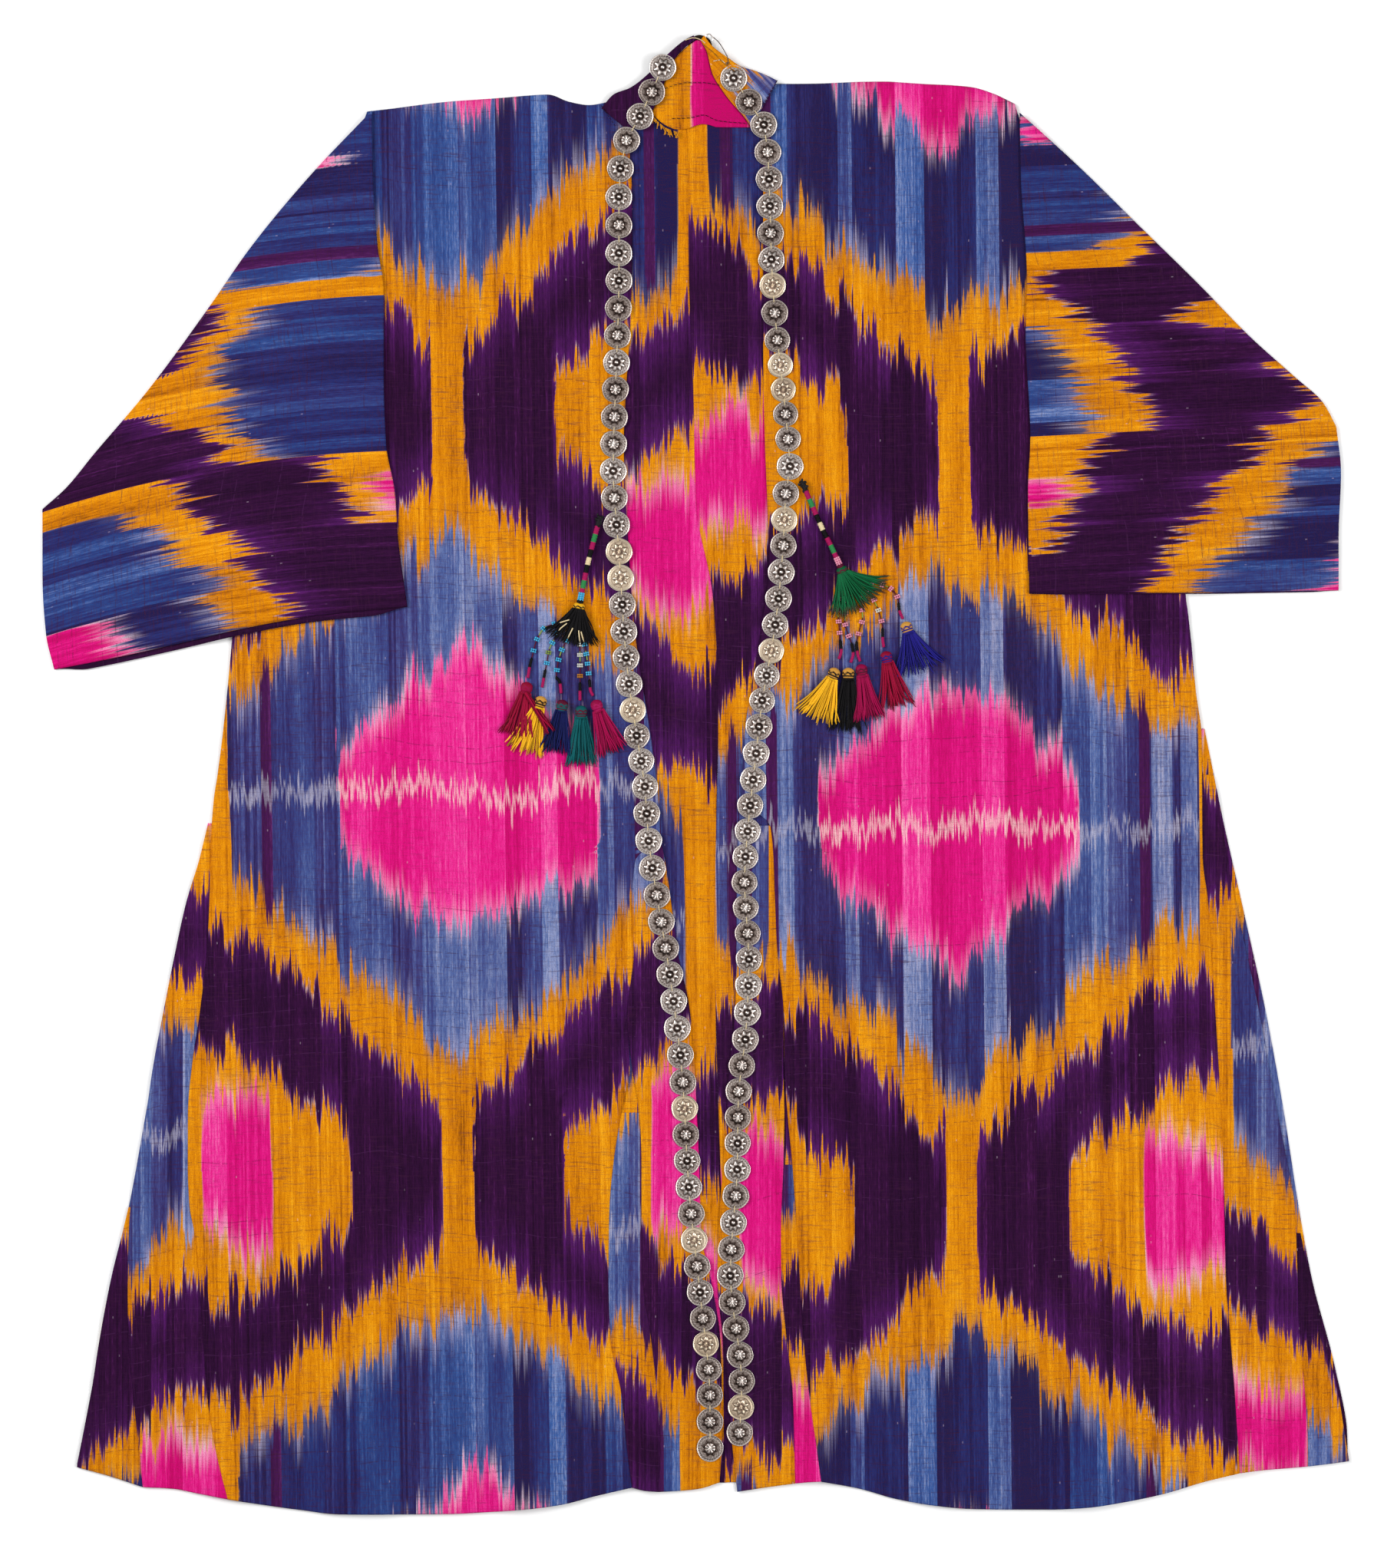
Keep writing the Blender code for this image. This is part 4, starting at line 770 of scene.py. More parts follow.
def ikat_cloth() -> bpy.types.Material:
    """Hand-woven ikat: resist-dyed warp, so every edge across the warp is a comb of threads.

    To the eye it is a soft cloth of purple, gold, indigo and pink whose shapes have ragged tips
    and whose fields are full of fine streaks. Each dye's mask is its field plus a shift that
    belongs to the warp thread: a block of threads 17 mm wide shares a step, noise a few mm wide
    draws the comb, finer noise its needles, and single threads add hairs. Where two dyes meet,
    undyed cream or lavender shows in some blocks.
    """
    shade = Shade(HANDWOVEN)
    thread, warp, depth = shade.split("loom")
    yellow_in, blue_in, pink_in = shade.split("dye")
    stripe_in = shade.attribute("stripe", 2)
    side = (warp / HALF).whole() * 17.31
    wandering = thread + shade.noise(thread, 0.03) * 60.0
    block = (wandering / BLOCK).whole()
    narrow = (wandering / NARROW_BLOCK).whole()
    pair = (thread / THREAD_PAIR).whole()
    hair = (thread / ONE_THREAD).whole()

    def shifted(field: Signal, seed: float, block_mm: float, needle_mm: float) -> Signal:
        """A dye's field, moved along the warp by what its blocks, needles and threads add."""
        offset = side + seed
        place = thread + offset * 5.0
        for group, reach in ((block, block_mm), (narrow, 10.0), (pair, 12.0), (hair, 14.0)):
            field = field + shade.dice(group + offset).centred(reach)
        field = field + shade.noise(place, 0.12, 1.0, 0.5).centred(18.0)
        return field + shade.noise(place, 0.3, 2.0, 0.65).centred(needle_mm)

    def grain(across: float, run: float, detail: float = 2.0, rough: float = 0.5) -> Signal:
        """Noise, scaled by across from thread to thread and by run along the warp."""
        place = shade.add("ShaderNodeCombineXYZ", {0: thread * across, 1: warp * run, 2: 0.0})
        return shade.noise_at(place, 1.0, detail, rough)

    def lay(amount: Signal, under: Signal, over, strength: float = 1.0) -> Signal:
        """One colour laid over another by an amount; over may be a hex colour."""
        if strength != 1.0:
            amount = amount * strength
        return shade.mix(amount, under, srgb(over) if isinstance(over, str) else over)

    yellow = shifted(yellow_in, 3.7, 25.0, 42.0)
    blue = shifted(blue_in, 41.3, 30.0, 34.0)
    pink = shifted(pink_in, 87.9, 22.0, 32.0)

    # Streaks of shade along the warp: block, narrow block, pair of threads and single thread.
    one, two = shade.dice(hair), shade.dice(pair + 0.5)
    fibre = grain(0.62, 0.022, 3.0, 0.7).step(0.3, 0.7)
    mottle = grain(0.8, 0.12, 2.0, 0.6).step(0.3, 0.7)
    cloud = grain(0.06, 0.009)
    threads = one.scaled(0.22, two.scaled(0.2, fibre * 0.3) + mottle * 0.28)
    streak = shade.dice(narrow + 9.5).scaled(0.24, shade.dice(block + 5.5) * 0.7)
    streak = streak + cloud.scaled(0.5, -0.23) + threads.centred(0.46)
    streak = streak - depth.step(1.0, 2.0, 0.0, 0.5) - depth * 0.19
    single = threads.scaled(0.75, shade.dice(narrow + 2.5) * 0.25)
    tawny = single + cloud.centred(0.8)

    # The dyes: nearly black purple, burnt gold, an indigo that dips to a deeper vat, and pink.
    purple = shade.ramp(single, (0.15, "#1B051C"), (0.45, "#28092B"), (0.7, "#340D37"),
                        (0.95, "#571F5D"))
    gold = shade.ramp(tawny, (0.08, "#8C4C05"), (0.34, "#C67304"), (0.62, "#DE8B06"),
                      (0.95, "#F4A91A"))
    indigo = shade.ramp(streak, (0.05, "#1F1B48"), (0.25, "#2E2A62"), (0.45, "#3D437E"),
                        (0.62, "#4A5A92"), (0.8, "#6876A4"), (0.98, "#9496B8"))
    vat = shade.ramp(streak, (0.05, "#1B1848"), (0.3, "#222A66"), (0.52, "#25417F"),
                     (0.76, "#33599C"), (0.98, "#6E86BA"))
    vatted = shade.dice(block + 21.5).scaled(0.75, -0.2)
    indigo = lay(shade.math("ADD", depth, vatted, clamp=True), indigo, vat)
    rosy = streak.scaled(0.62, 0.11) + threads.centred(0.42)
    magenta = shade.ramp(rosy, (0.05, "#BE0262"), (0.4, "#DA107C"), (0.65, "#E63292"),
                         (0.95, "#F46EB0"))

    # Undyed warp, wide in some blocks and missing in others.
    bare = shade.dice(narrow + (side + 63.0)) ** 2.2
    thin = shade.dice(hair + 12.0).scaled(0.75, 0.25)

    # The purple is overdyed: its red shows as violet streaks towards the yellow.
    violet = yellow.step(-54.0, -2.0) * shade.dice(block + 7.5).step(0.1, 0.9)
    violet = shade.math("MULTIPLY", violet, threads.scaled(1.1, 0.1), clamp=True)
    colour = lay(violet, purple, "#68227C", 0.6)
    colour = lay(yellow.step(-12.0, -1.0), colour, "#6A2280", 0.35)
    colour = lay(abs(yellow).fade(0.5, 6.0) * (bare * thin), colour, "#DDB7B0", 0.9)
    colour = lay(yellow.step(-1.5, 2.0), colour, gold)
    # The blue over it, with a brown seep at its edge, lavender tips and pale threads.
    colour = lay(abs(blue + 5.0).fade(0.0, 9.0), colour, "#7A6350", 0.35)
    soft_blue = lay(blue.fade(0.0, 30.0) * (bare * thin), indigo, "#B9B2CE", 0.85)
    soft_blue = lay(streak.step(0.45, 0.9) * (mottle * one), soft_blue, "#ACAECA", 0.3)
    colour = lay(blue.step(-3.0, 3.0), colour, soft_blue)
    # The pink over that, paler outside its edge and rosier just inside it.
    pale = pink.step(-18.0, 0.0) * bare.scaled(0.8, 0.08)
    colour = lay(pale * thin, colour, "#D9BFD0")
    soft_pink = lay(pink.fade(0.0, 24.0) * bare.scaled(0.5, 0.2), magenta, "#F6A8CC")
    colour = lay(pink.step(-2.0, 3.0), colour, soft_pink)

    # The thin violet stripe that runs with the warp through the blue.
    band = shade.ramp(single, (0.2, "#300D3C"), (0.6, "#43154E"), (0.95, "#663070"))
    ragged = stripe_in + shade.dice(hair + 31.0).centred(1.8)
    colour = lay(ragged.step(-0.4, 0.4), colour, band)

    # The undyed line through the middle of each medallion, where the folded warp was tied.
    drift = shade.noise(thread, 0.013, 1.0).centred(24.0)
    drift = drift + shade.noise(thread, 0.25, 2.0, 0.6).centred(26.0)
    drift = drift + two.centred(13.0) + shade.dice(narrow + 44.0).centred(9.0)
    tall = (one ** 1.3).scaled(10.0, 3.0)
    line = tall - abs(shade.math("WRAP", warp, HALF, -HALF) + drift)
    broken = thin.scaled(0.6, 0.4) * fibre.scaled(0.6, 0.35)
    line = shade.math("MULTIPLY", line.step(-1.5, 4.0), broken, clamp=True)
    dyed = shade.math("MAXIMUM", blue_in.step(0.0, 8.0) * 0.85, pink_in.step(0.0, 8.0))
    bare_tint = lay(pink.step(-4.0, 4.0), srgb("#B8B4C8"), "#F3D0CC")
    colour = lay(line * dyed * depth.fade(0.1, 0.6), colour, bare_tint)

    # Weft: fine dark ribs across the warp, rows of dashes, and single pale threads.
    weft = grain(0.05, 0.6, 2.0, 0.7)
    weave = grain(1.1, 1.1, 1.0, 0.5)
    patch = grain(0.014, 0.014).step(0.35, 0.65)
    on_gold = yellow.step(-1.0, 1.0)
    rib = weft.step(0.48, 0.72) * patch.scaled(0.32, 0.16) * pink.step(-1.0, 1.0, 1.0, 0.55)
    colour = lay(rib, colour, "#3E1A36")
    colour = lay(weave.step(0.42, 0.72), colour, lay(on_gold, srgb("#2A1238"), "#4A2408"), 0.27)
    sag = shade.noise(thread, 0.006, 2.0).scaled(3.0, warp / DASH_ROWS)
    row = sag.whole()
    off_row = abs(shade.math("FRACT", sag) - 0.5)
    dash = shade.dice((thread / 2.3).whole() + row * 57.3)
    shown = (shade.dice(row + 0.3) + patch.centred(0.3)).step(0.5, 0.75)
    dash = dash.step(0.3, 0.5) * off_row.fade(0.02, 0.045) * shown
    colour = lay(dash, colour, lay(on_gold, srgb("#4A2250"), "#3A1428"), 0.36)
    speck = shade.dice((warp / 1.8).whole().scaled(91.3, hair)).step(0.9993, 0.9997)
    colour = lay(speck, colour, "#D8BFD4", 0.2)

    height = weft * 0.6 + weave * 0.8 - dash * 0.7 + threads * 0.25
    return shade.finish(Base_Color=colour, Normal=shade.bump(height, 0.5, 0.35))


def oxidised_silver() -> bpy.types.Material:
    """Stamped low silver: to the eye it shines where it rubs and is nearly black in its hollows.

    The stamp attribute holds how bright the relief is, whether the disc shows its pale back, and
    how light its metal is.
    """
    shade = Shade(SILVER)
    bright, back, tone = shade.split("stamp")
    grain = shade.noise_at(shade.here(), 900.0, 3.0)
    worn = bright + grain.scaled(0.4, -0.2) + tone.scaled(0.16, -0.08)
    dark = shade.ramp(worn, (0.05, "#17100E"), (0.3, "#4A3C37"), (0.55, "#8E8079"),
                      (0.92, "#EFE6E0"))
    pale = shade.ramp(worn, (0.1, "#45342A"), (0.42, "#8E7868"), (0.72, "#CDB9A0"),
                      (0.98, "#EDE0CC"))
    return shade.finish(Base_Color=shade.mix(back, dark, pale),
                        Roughness=worn.step(0.1, 0.9, 0.55, 0.32),
                        Normal=shade.bump(grain, 0.15, 0.2))


def dyed_thread() -> bpy.types.Material:
    """Silk and cotton floss: the mesh's own colour, with a painted sheen that makes it a little lighter
    along each twist.
    """
    shade = Shade(FLOSS)
    grain = shade.noise_at(shade.here(), 1400.0, 2.0)
    # Painted sheen: noise lightens the floss a little in small patches, where light would catch its twist.
    painted_twist_sheen = grain.step(0.35, 0.7, 0.0, 0.2)
    colour = shade.mix(painted_twist_sheen, shade.attribute("dyed"), srgb("#FFFFFF"), "SOFT_LIGHT")
    return shade.finish(Base_Color=colour, Normal=shade.bump(grain, 0.4, 0.3))


def glass_beads() -> bpy.types.Material:
    """Small opaque glass beads: the mesh's own colour under a hard glint."""
    shade = Shade(GLASS)
    return shade.finish(Base_Color=shade.attribute("dyed"))


def table_paper() -> bpy.types.Material:
    """White studio paper: an even white with hardly any tooth."""
    shade = Shade(PAPER)
    tooth = shade.noise_at(shade.here(), 30.0, 3.0)
    return shade.finish(Base_Color=shade.ramp(tooth, (0.3, "#FAFAFA"), (0.7, "#FDFDFD")))


def declare_solid(thing: bpy.types.Object, name: str) -> None:
    """Attaches a piece to the robe and hides the solid it replaces."""
    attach(thing, "root")
    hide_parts(name)


def declare_cloth(thing: bpy.types.Object, name: str, width: float, length: float, area: float) -> None:
    """States what a cloth piece replaces, and logs its flat cut.

    Args:
        thing: the shell that shows the cloth.
        name: the name of its node.
        width: the widest row of the flat cut, in mm; all round on a tube.
        length: the cut's length, in mm.
        area: the cut's flat area, in square mm.
    """
    declare_solid(thing, name)
    LOG.info("%s: flat %.0f x %.0f mm, %.4f m2", name, width, length, area * MM * MM)


SAME_X = 0.05                  # corners closer than this in x are one place
LOWER_HALF = 1.25              # the shoulder's line is read from its corners below this level
PLAN_COLUMNS = 12              # points of a row that is read from a solid


def solid_points(node: bpy.types.Object) -> np.ndarray:
    """The different corners of a solid, in mm."""
    raw = np.empty(len(node.data.vertices) * 3)
    node.data.vertices.foreach_get("co", raw)
    return np.unique(np.round(raw.reshape(-1, 3) / MM, 2), axis=0)


def first_at_x(points: np.ndarray, falling: int) -> np.ndarray:
    """At each x, the point whose coordinate number falling is the largest; sorted by x."""
    points = points[np.lexsort((-points[:, falling], points[:, 0]))]
    return points[np.concatenate([[True], np.diff(points[:, 0]) > SAME_X])]


def read_plan(node: bpy.types.Object) -> np.ndarray:
    """Top of a panel's solid, from its upper edge to its hem: an array (rows, columns, 3) in mm.

    A row of corners at one level of the page becomes a row of evenly spaced points. The shoulder
    and the hem aren't level, so the corners there make one curved row each.
    """
    points = solid_points(node)
    rows = []
    for level in np.unique(points[:, 1])[::-1]:
        row = first_at_x(points[points[:, 1] == level], 2)
        if HEM_LIMIT < level < SHOULDER_LIMIT and len(row) > 1:
            x = np.linspace(row[0, 0], row[-1, 0], PLAN_COLUMNS)
            z = np.interp(x, row[:, 0], row[:, 2])
            rows.append(np.stack([x, np.full(PLAN_COLUMNS, level), z], axis=-1))
    for zone in (points[:, 1] > SHOULDER_LIMIT, points[:, 1] < HEM_LIMIT):
        edge = points[zone]
        if not len(edge):
            continue
        shoulder = edge[0, 1] > 0
        if shoulder:
            edge = first_at_x(edge[edge[:, 2] < LOWER_HALF], 1)
        edge = first_at_x(edge, 2)
        x = np.linspace(edge[0, 0], edge[-1, 0], PLAN_COLUMNS)
        z = np.interp(x, edge[:, 0], edge[:, 2])
        row = np.stack([x, smooth_value(edge[:, 0], edge[:, 1], x), z], axis=-1)
        rows.insert(0 if shoulder else len(rows), row)
    return np.stack(rows)


def plan_area(grid: np.ndarray) -> float:
    """Area of a grid in plan: half the cross product of each cell's diagonals, added up."""
    a, b = grid[1:, 1:, :2] - grid[:-1, :-1, :2], grid[1:, :-1, :2] - grid[:-1, 1:, :2]
    return float(np.abs(a[..., 0] * b[..., 1] - a[..., 1] * b[..., 0]).sum() / 2)


@dataclass(frozen=True)
class Tuck:
    """How a front's upper left corner is turned in under its neighbour."""
    start: float               # Y at which it starts
    fade: float                # over how many mm it grows
    across: float              # how far it moves the corner towards -X
    down: float                # and towards -Y


TUCKS = {
    "front_left": Tuck(534.0, 22.0, 14.0, 3.0),     # under the sleeve's head
    "front_right": Tuck(542.0, 24.0, 12.0, 0.0),    # under the collar's end
}


@dataclass
class ClothPanel:
    """One flat-woven panel, laid on the table or on the panel under it."""
    name: str
    material: bpy.types.Material
    folded_top: bool = False   # it is folded over at the shoulder

    def surface(self, node: bpy.types.Object) -> tuple:
        """Fine grid of the panel's top, and its shares across and distances down.

        The rows of the solid are joined by a monotone cubic down the panel, and then each row by
        one across it. Extra rows and columns lie close to the edges, for their roll.
        """
        rows = read_plan(node)
        run = np.concatenate([[0.0], np.cumsum(np.abs(np.diff(rows[:, :, 1].mean(axis=1))))])
        if self.folded_top:
            rows[0, :, 2] = rows[1, :, 2]
        width = np.ptp(rows[:, :, 0], axis=1).max()
        columns = max(6, int(width / CELL)) + 1
        lines = max(12, int(run[-1] / CELL)) + 1
        v = np.linspace(0.0, run[-1], lines)
        v = np.unique(np.concatenate([[0.0, 1.0, 2.2], v[1:-1], run[-1] - np.array([1.2, 0.0])]))
        u = np.linspace(0.0, 1.0, columns)
        edge = 1.2 / max(width, 20.0)
        u = np.unique(np.concatenate([[0.0, edge], u[1:-1], [1.0 - edge, 1.0]]))
        long_way = smooth_value(run, rows, v)
        shares = np.linspace(0.0, 1.0, rows.shape[1])
        grid = np.swapaxes(smooth_value(shares, np.swapaxes(long_way, 0, 1), u), 0, 1)
        if self.name in TUCKS:
            tuck = TUCKS[self.name]
            corner = smooth_step((grid[..., 1] - tuck.start) / tuck.fade) * (1 - u) ** 5
            grid[..., 0] -= tuck.across * corner
            grid[..., 1] -= tuck.down * corner
        return grid, u, v

    def build(self, node: bpy.types.Object) -> bpy.types.Object:
        """The panel's shell: creased, puckered along its seams, rolled at its edges and dyed.

        A pucker is a sine along the seam, under a Gaussian that is gone 14 mm from it.
        """
        grid, u, v = self.surface(node)
        x, y = grid[..., 0], grid[..., 1]
        width = np.ptp(x, axis=1)[:, None]
        from_side = np.minimum(u, 1 - u)[None] * width
        from_end = np.minimum(v, v[-1] - v)[:, None]
        if not self.name.startswith("back"):
            pucker = np.sin(y / 3.9 + 2.0 * np.sin(y / 29)) * (0.5 + 0.5 * np.sin(y / 47 + x / 90))
            grid[..., 2] += relief(x, y) + 0.22 * pucker * np.exp(-(from_side / 7.0) ** 2)
        grid[..., 2] -= (0.55 * (1 - smooth_step(from_side / 1.5))
                         + 0.3 * (1 - smooth_step(from_end / 1.5)))
        if self.folded_top:
            grid[..., 2] -= 1.6 * (1 - np.sqrt(np.clip(v / 2.4, 0, 1)))[:, None]
        reach = SEAM_REACH * (2 * u[None] - 1) * 2
        grid[..., 0] += np.clip(reach, -SEAM_REACH, SEAM_REACH)
        grid[..., 2] = np.maximum(grid[..., 2], CLOTH + 0.02)
        parts = MeshParts()
        parts.add_shell(grid[..., :2], grid[..., 2], LOOM_PLACES[self.name].paint(grid[..., :2]))
        thing = parts.build("cloth_" + self.name, (self.material,))
        declare_cloth(thing, self.name, float(width.max()), float(v[-1]), plan_area(grid))
        return thing


# ---------------------------------------------------------------- sleeves
# Edges of each flattened sleeve: top and bottom from armhole to cuff, the others downwards.
SLEEVE_OUTLINES = {
    "sleeve_left": {
        "top": ((-273, 562), (-324, 509), (-377, 445), (-411, 396), (-464, 324), (-509, 271), (-532, 243),
                (-552, 225)),
        "bottom": ((-243, 142), (-324, 134), (-385, 123), (-437, 111), (-491, 99), (-542, 89)),
        "armhole": ((-273, 562), (-272, 505), (-268, 445), (-263, 411), (-263, 338), (-261, 279),
                    (-254, 241), (-251, 201), (-243, 142)),
        "cuff": ((-552, 225), (-552, 168), (-549, 119), (-542, 89)),
    },
    "sleeve_right": {
        "top": ((275, 560), (324, 516), (375, 466), (426, 416), (471, 370), (509, 336), (532, 315),
                (543, 295)),
        "bottom": ((283, 153), (354, 154), (418, 154), (484, 155), (545, 156)),
        "armhole": ((275, 560), (276, 505), (281, 422), (280, 373), (284, 286), (282, 240), (283, 153)),
        "cuff": ((543, 295), (547, 256), (545, 201), (545, 156)),
    },
}
END_SHARE = 0.012              # a seam stays this share away from the folds and from the other seam


@dataclass
class Sleeve:
    """Flattened sleeve tube, laid over the front and down to the table."""
    name: str
    outward: float             # 1 towards +X, -1 towards -X
    material: bpy.types.Material
    peek: float = 1.0          # how far the under side shows below the lower edge

    def plan(self, columns: np.ndarray, rows: np.ndarray) -> np.ndarray:
        """Plan grid: rows from the top edge to the bottom one, columns from armhole to cuff.

        It is a Coons patch: the two blends of opposite edges added, less that of the corners.
        """
        outline = SLEEVE_OUTLINES[self.name]
        u, v = np.meshgrid(columns, rows)
        u, v = u[..., None], v[..., None]
        top, bottom = (along(outline[edge], columns)[None] for edge in ("top", "bottom"))
        inner, cuff = (along(outline[edge], rows)[:, None] for edge in ("armhole", "cuff"))
        corners = ((1 - u) * (1 - v) * top[:, :1] + u * (1 - v) * top[:, -1:]
                   + (1 - u) * v * bottom[:, :1] + u * v * bottom[:, -1:])
        blend = (1 - v) * top + v * bottom + (1 - u) * inner + u * cuff - corners
        return blend - OUTLINE_CENTRE

    def pieced(self, columns: np.ndarray, loom: SleeveLoom) -> tuple:
        """Plan grid whose rows follow the seams between the three widths.

        Two rows lie at each seam, a hair apart, so that each width's dye stops at the seam.

        Args:
            columns: shares along the arm.
            loom: where the sleeve's widths lie.

        Returns:
            The plan grid, and for each point its share down the sleeve, the width it is in, and
            how far it is from the nearer seam, as such a share.
        """
        dense_rows = np.linspace(0, 1, 400)
        dense = self.plan(columns, dense_rows)
        down, _ = loom.below_seam(dense)
        spread = [np.interp(level, down[:, k], dense_rows)
                  for level in (-loom.middle_width, 0.0) for k in range(len(columns))]
        high, low = np.clip(np.array(spread).reshape(2, -1), END_SHARE, 1 - END_SHARE)
        low = np.maximum(low, high + END_SHARE)
        hair = 0.0004
        ease = np.concatenate([[0.0, END_SHARE, 0.035], np.linspace(0.07, 1.0, 26)])[:, None]
        blocks = [ease * (high - hair),
                  high + hair + (low - high - 2 * hair) * np.linspace(0, 1, 28)[:, None],
                  low + hair + (1 - low - hair) * (1 - ease[::-1])]
        width = np.concatenate([np.full(len(block), 2 - k) for k, block in enumerate(blocks)])
        rows = np.concatenate(blocks)
        plan = np.stack([np.stack([np.interp(rows[:, k], dense_rows, dense[:, k, axis])
                                   for axis in (0, 1)], axis=-1)
                         for k in range(len(columns))], axis=1)
        width = np.broadcast_to(width[:, None], rows.shape).copy()
        width[(width == 2) & (loom.below_seam(plan)[0] > -loom.middle_width + 1.0)] = 1
        seam = np.minimum(np.abs(rows - high), np.abs(rows - low))
        return plan, rows, width, seam

    def base(self, plan: np.ndarray, body_edge: np.ndarray) -> np.ndarray:
        """Height of the underside: on the front inside the body's edge, on the table outside."""
        off = self.outward * (plan[..., 0] - line_x(body_edge, plan[..., 1]))
        low, high = SLEEVE_SLOPE
        return SLEEVE_BASE * (1 - smooth_step((off - low) / (high - low)))

    def build(self, node: bpy.types.Object, front: bpy.types.Object) -> bpy.types.Object:
        """The sleeve's two walls, upper and under.

        Across the arm the section is a flat loop: half its thickness times a quarter circle near
        each fold. Creases lift the upper wall, and it sinks a little at its ends and seams.
        """
        body_edge = read_plan(front)[:, 0 if self.outward < 0 else -1, :2]
        loom_of = SLEEVE_LOOMS[self.name]
        columns = np.unique(np.concatenate([np.linspace(0, 1, 66), [0.004, 0.996]]))
        plan, rows, width, seam = self.pieced(columns, loom_of)
        if self.outward < 0:
            plan, rows, width, seam = (array[:, ::-1] for array in (plan, rows, width, seam))
            columns = 1 - columns[::-1]
        length = np.linalg.norm(np.diff(plan, axis=0), axis=-1).sum(axis=0)[None]
        from_fold = np.minimum(rows, 1 - rows) * length
        round_off = np.sqrt(np.clip(1 - (1 - np.clip(from_fold / 1.6, 0, 1)) ** 2, 0, 1))
        middle = self.base(plan, body_edge) + SLEEVE_THICK / 2
        from_end = np.minimum(columns, 1 - columns)[None] * row_lengths(plan).mean()
        sink = (0.35 * (1 - smooth_step(from_end / 2.0))
                + 0.4 * np.exp(-(seam * length / 1.6) ** 2))
        lift = relief(plan[..., 0], plan[..., 1])
        half = SLEEVE_THICK / 2 * np.maximum(round_off, CLOTH / SLEEVE_THICK)
        over = middle + half + (lift - sink) * smooth_step(from_fold / 10)
        under = middle - half + CLOTH
        loom, dye, stripe = loom_of.paint(plan, width)
        parts = MeshParts()
        parts.add_shell(plan, over, (loom, dye, stripe))
        # The under side peeks out below, and there its edge is purple.
        peek = smooth_step((rows - 0.93) / 0.07)
        peek = peek * smooth_step(columns / 0.1) * smooth_step((1 - columns) / 0.1)
        behind = plan - np.stack([np.zeros_like(peek), self.peek * peek], axis=-1)
        edge = 120.0 * smooth_step((rows - 0.8) / 0.1)[..., None]
        parts.add_shell(behind, under, (loom, np.clip(dye - edge, -DEEP, DEEP), stripe))
        thing = parts.build("cloth_" + self.name, (self.material,))
        declare_cloth(thing, self.name, 2 * float(length.max()), float(row_lengths(plan).max()),
                      2 * plan_area(plan))
        return thing


# ---------------------------------------------------------------- collar
# Each piece's left and right edge, from its lower end to its peak, and the facing's lower one.
FACING_RIGHT = ((48, 548), (40, 559), (31, 569), (22, 581), (15, 593), (10, 612), (5, 621))
COLLAR_CURVES = {
    "collar_left": {
        "left": ((-79, 564), (-68, 576), (-55, 581), (-38, 594), (-22, 610), (-7, 622),
                 (-1, 625)),
        "right": ((-55, 544), (-46, 550), (-37, 560), (-31, 572), (-25, 587), (-19, 602),
                  (-10, 613), (1, 622)),
    },
    "collar_right": {
        "left": FACING_RIGHT,
        "right": ((70, 587), (62, 591), (49, 596), (39, 599), (30, 605), (20, 612), (14, 617),
                  (8, 625)),
    },
    "neck_facing": {
        "left": ((-37, 560), (-31, 572), (-25, 587), (-19, 602), (-10, 613), (1, 621)),
        "right": FACING_RIGHT,
        "lower": ((-37, 560), (-25, 550), (-14, 546), (-5, 547), (2, 550), (8, 551), (20, 548),
                  (48, 548)),
    },
}


@dataclass
class CollarPiece:
    """Half of the collar band, or the facing inside the neck."""
    name: str
    material: bpy.types.Material

    def build(self, with_pieces: tuple = ()) -> bpy.types.Object:
        """A ruled surface between the piece's left and right edges, rising to its peak.

        The facing's lower edge pulls the rows near it down with it, less and less by a square.
        """
        curves = COLLAR_CURVES[self.name]
        facing = "lower" in curves
        u = np.unique(np.concatenate([np.linspace(0, 1, 16), [0.03, 0.97]]))
        v = np.unique(np.concatenate([np.linspace(0, 1, 36), [0.012, 0.988]]))
        west, east = along(curves["left"], v)[:, None], along(curves["right"], v)[:, None]
        plan = west * (1 - u[None, :, None]) + east * u[None, :, None]
        if facing:
            pull = along(curves["lower"], u) - plan[0]
            plan = plan + pull[None] * ((1 - v) ** 2)[:, None, None]
        plan = plan[::-1] - OUTLINE_CENTRE
        v = 1 - v[::-1]
        y = plan[..., 1]
        low, high = COLLAR_SLOPE
        top = FRONT_TOP if facing else COLLAR_TOP
        top = top + COLLAR_RISE * smooth_step((y - low) / (high - low))
        edge = np.minimum(np.minimum(u, 1 - u)[None] * 20, np.minimum(v, 1 - v)[:, None] * 80)
        top = top - 0.4 * (1 - smooth_step(edge / 1.5))
        top = top + 0.12 * np.sin(plan[..., 0] / 4) * np.sin(y / 5)
        parts = MeshParts()
        parts.add_shell(plan, top, LOOM_PLACES[self.name].paint(plan))
        thing = parts.build("cloth_" + self.name, (self.material,))
        across = float(np.linalg.norm(plan[:, -1] - plan[:, 0], axis=-1).max())
        middle = plan[:, plan.shape[1] // 2]
        down = float(np.linalg.norm(np.diff(middle, axis=0), axis=-1).sum())
        declare_cloth(thing, self.name, across, down, plan_area(plan))
        return thing


@dataclass(frozen=True)
class StitchRow:
    """One row of running stitches: its way in plan (mm), the height it lies at, and its thread."""
    way: tuple
    low: float
    high: float
    colour: str
    stitch: float = 2.6
    gap: float = 1.5
    radius: float = 0.3


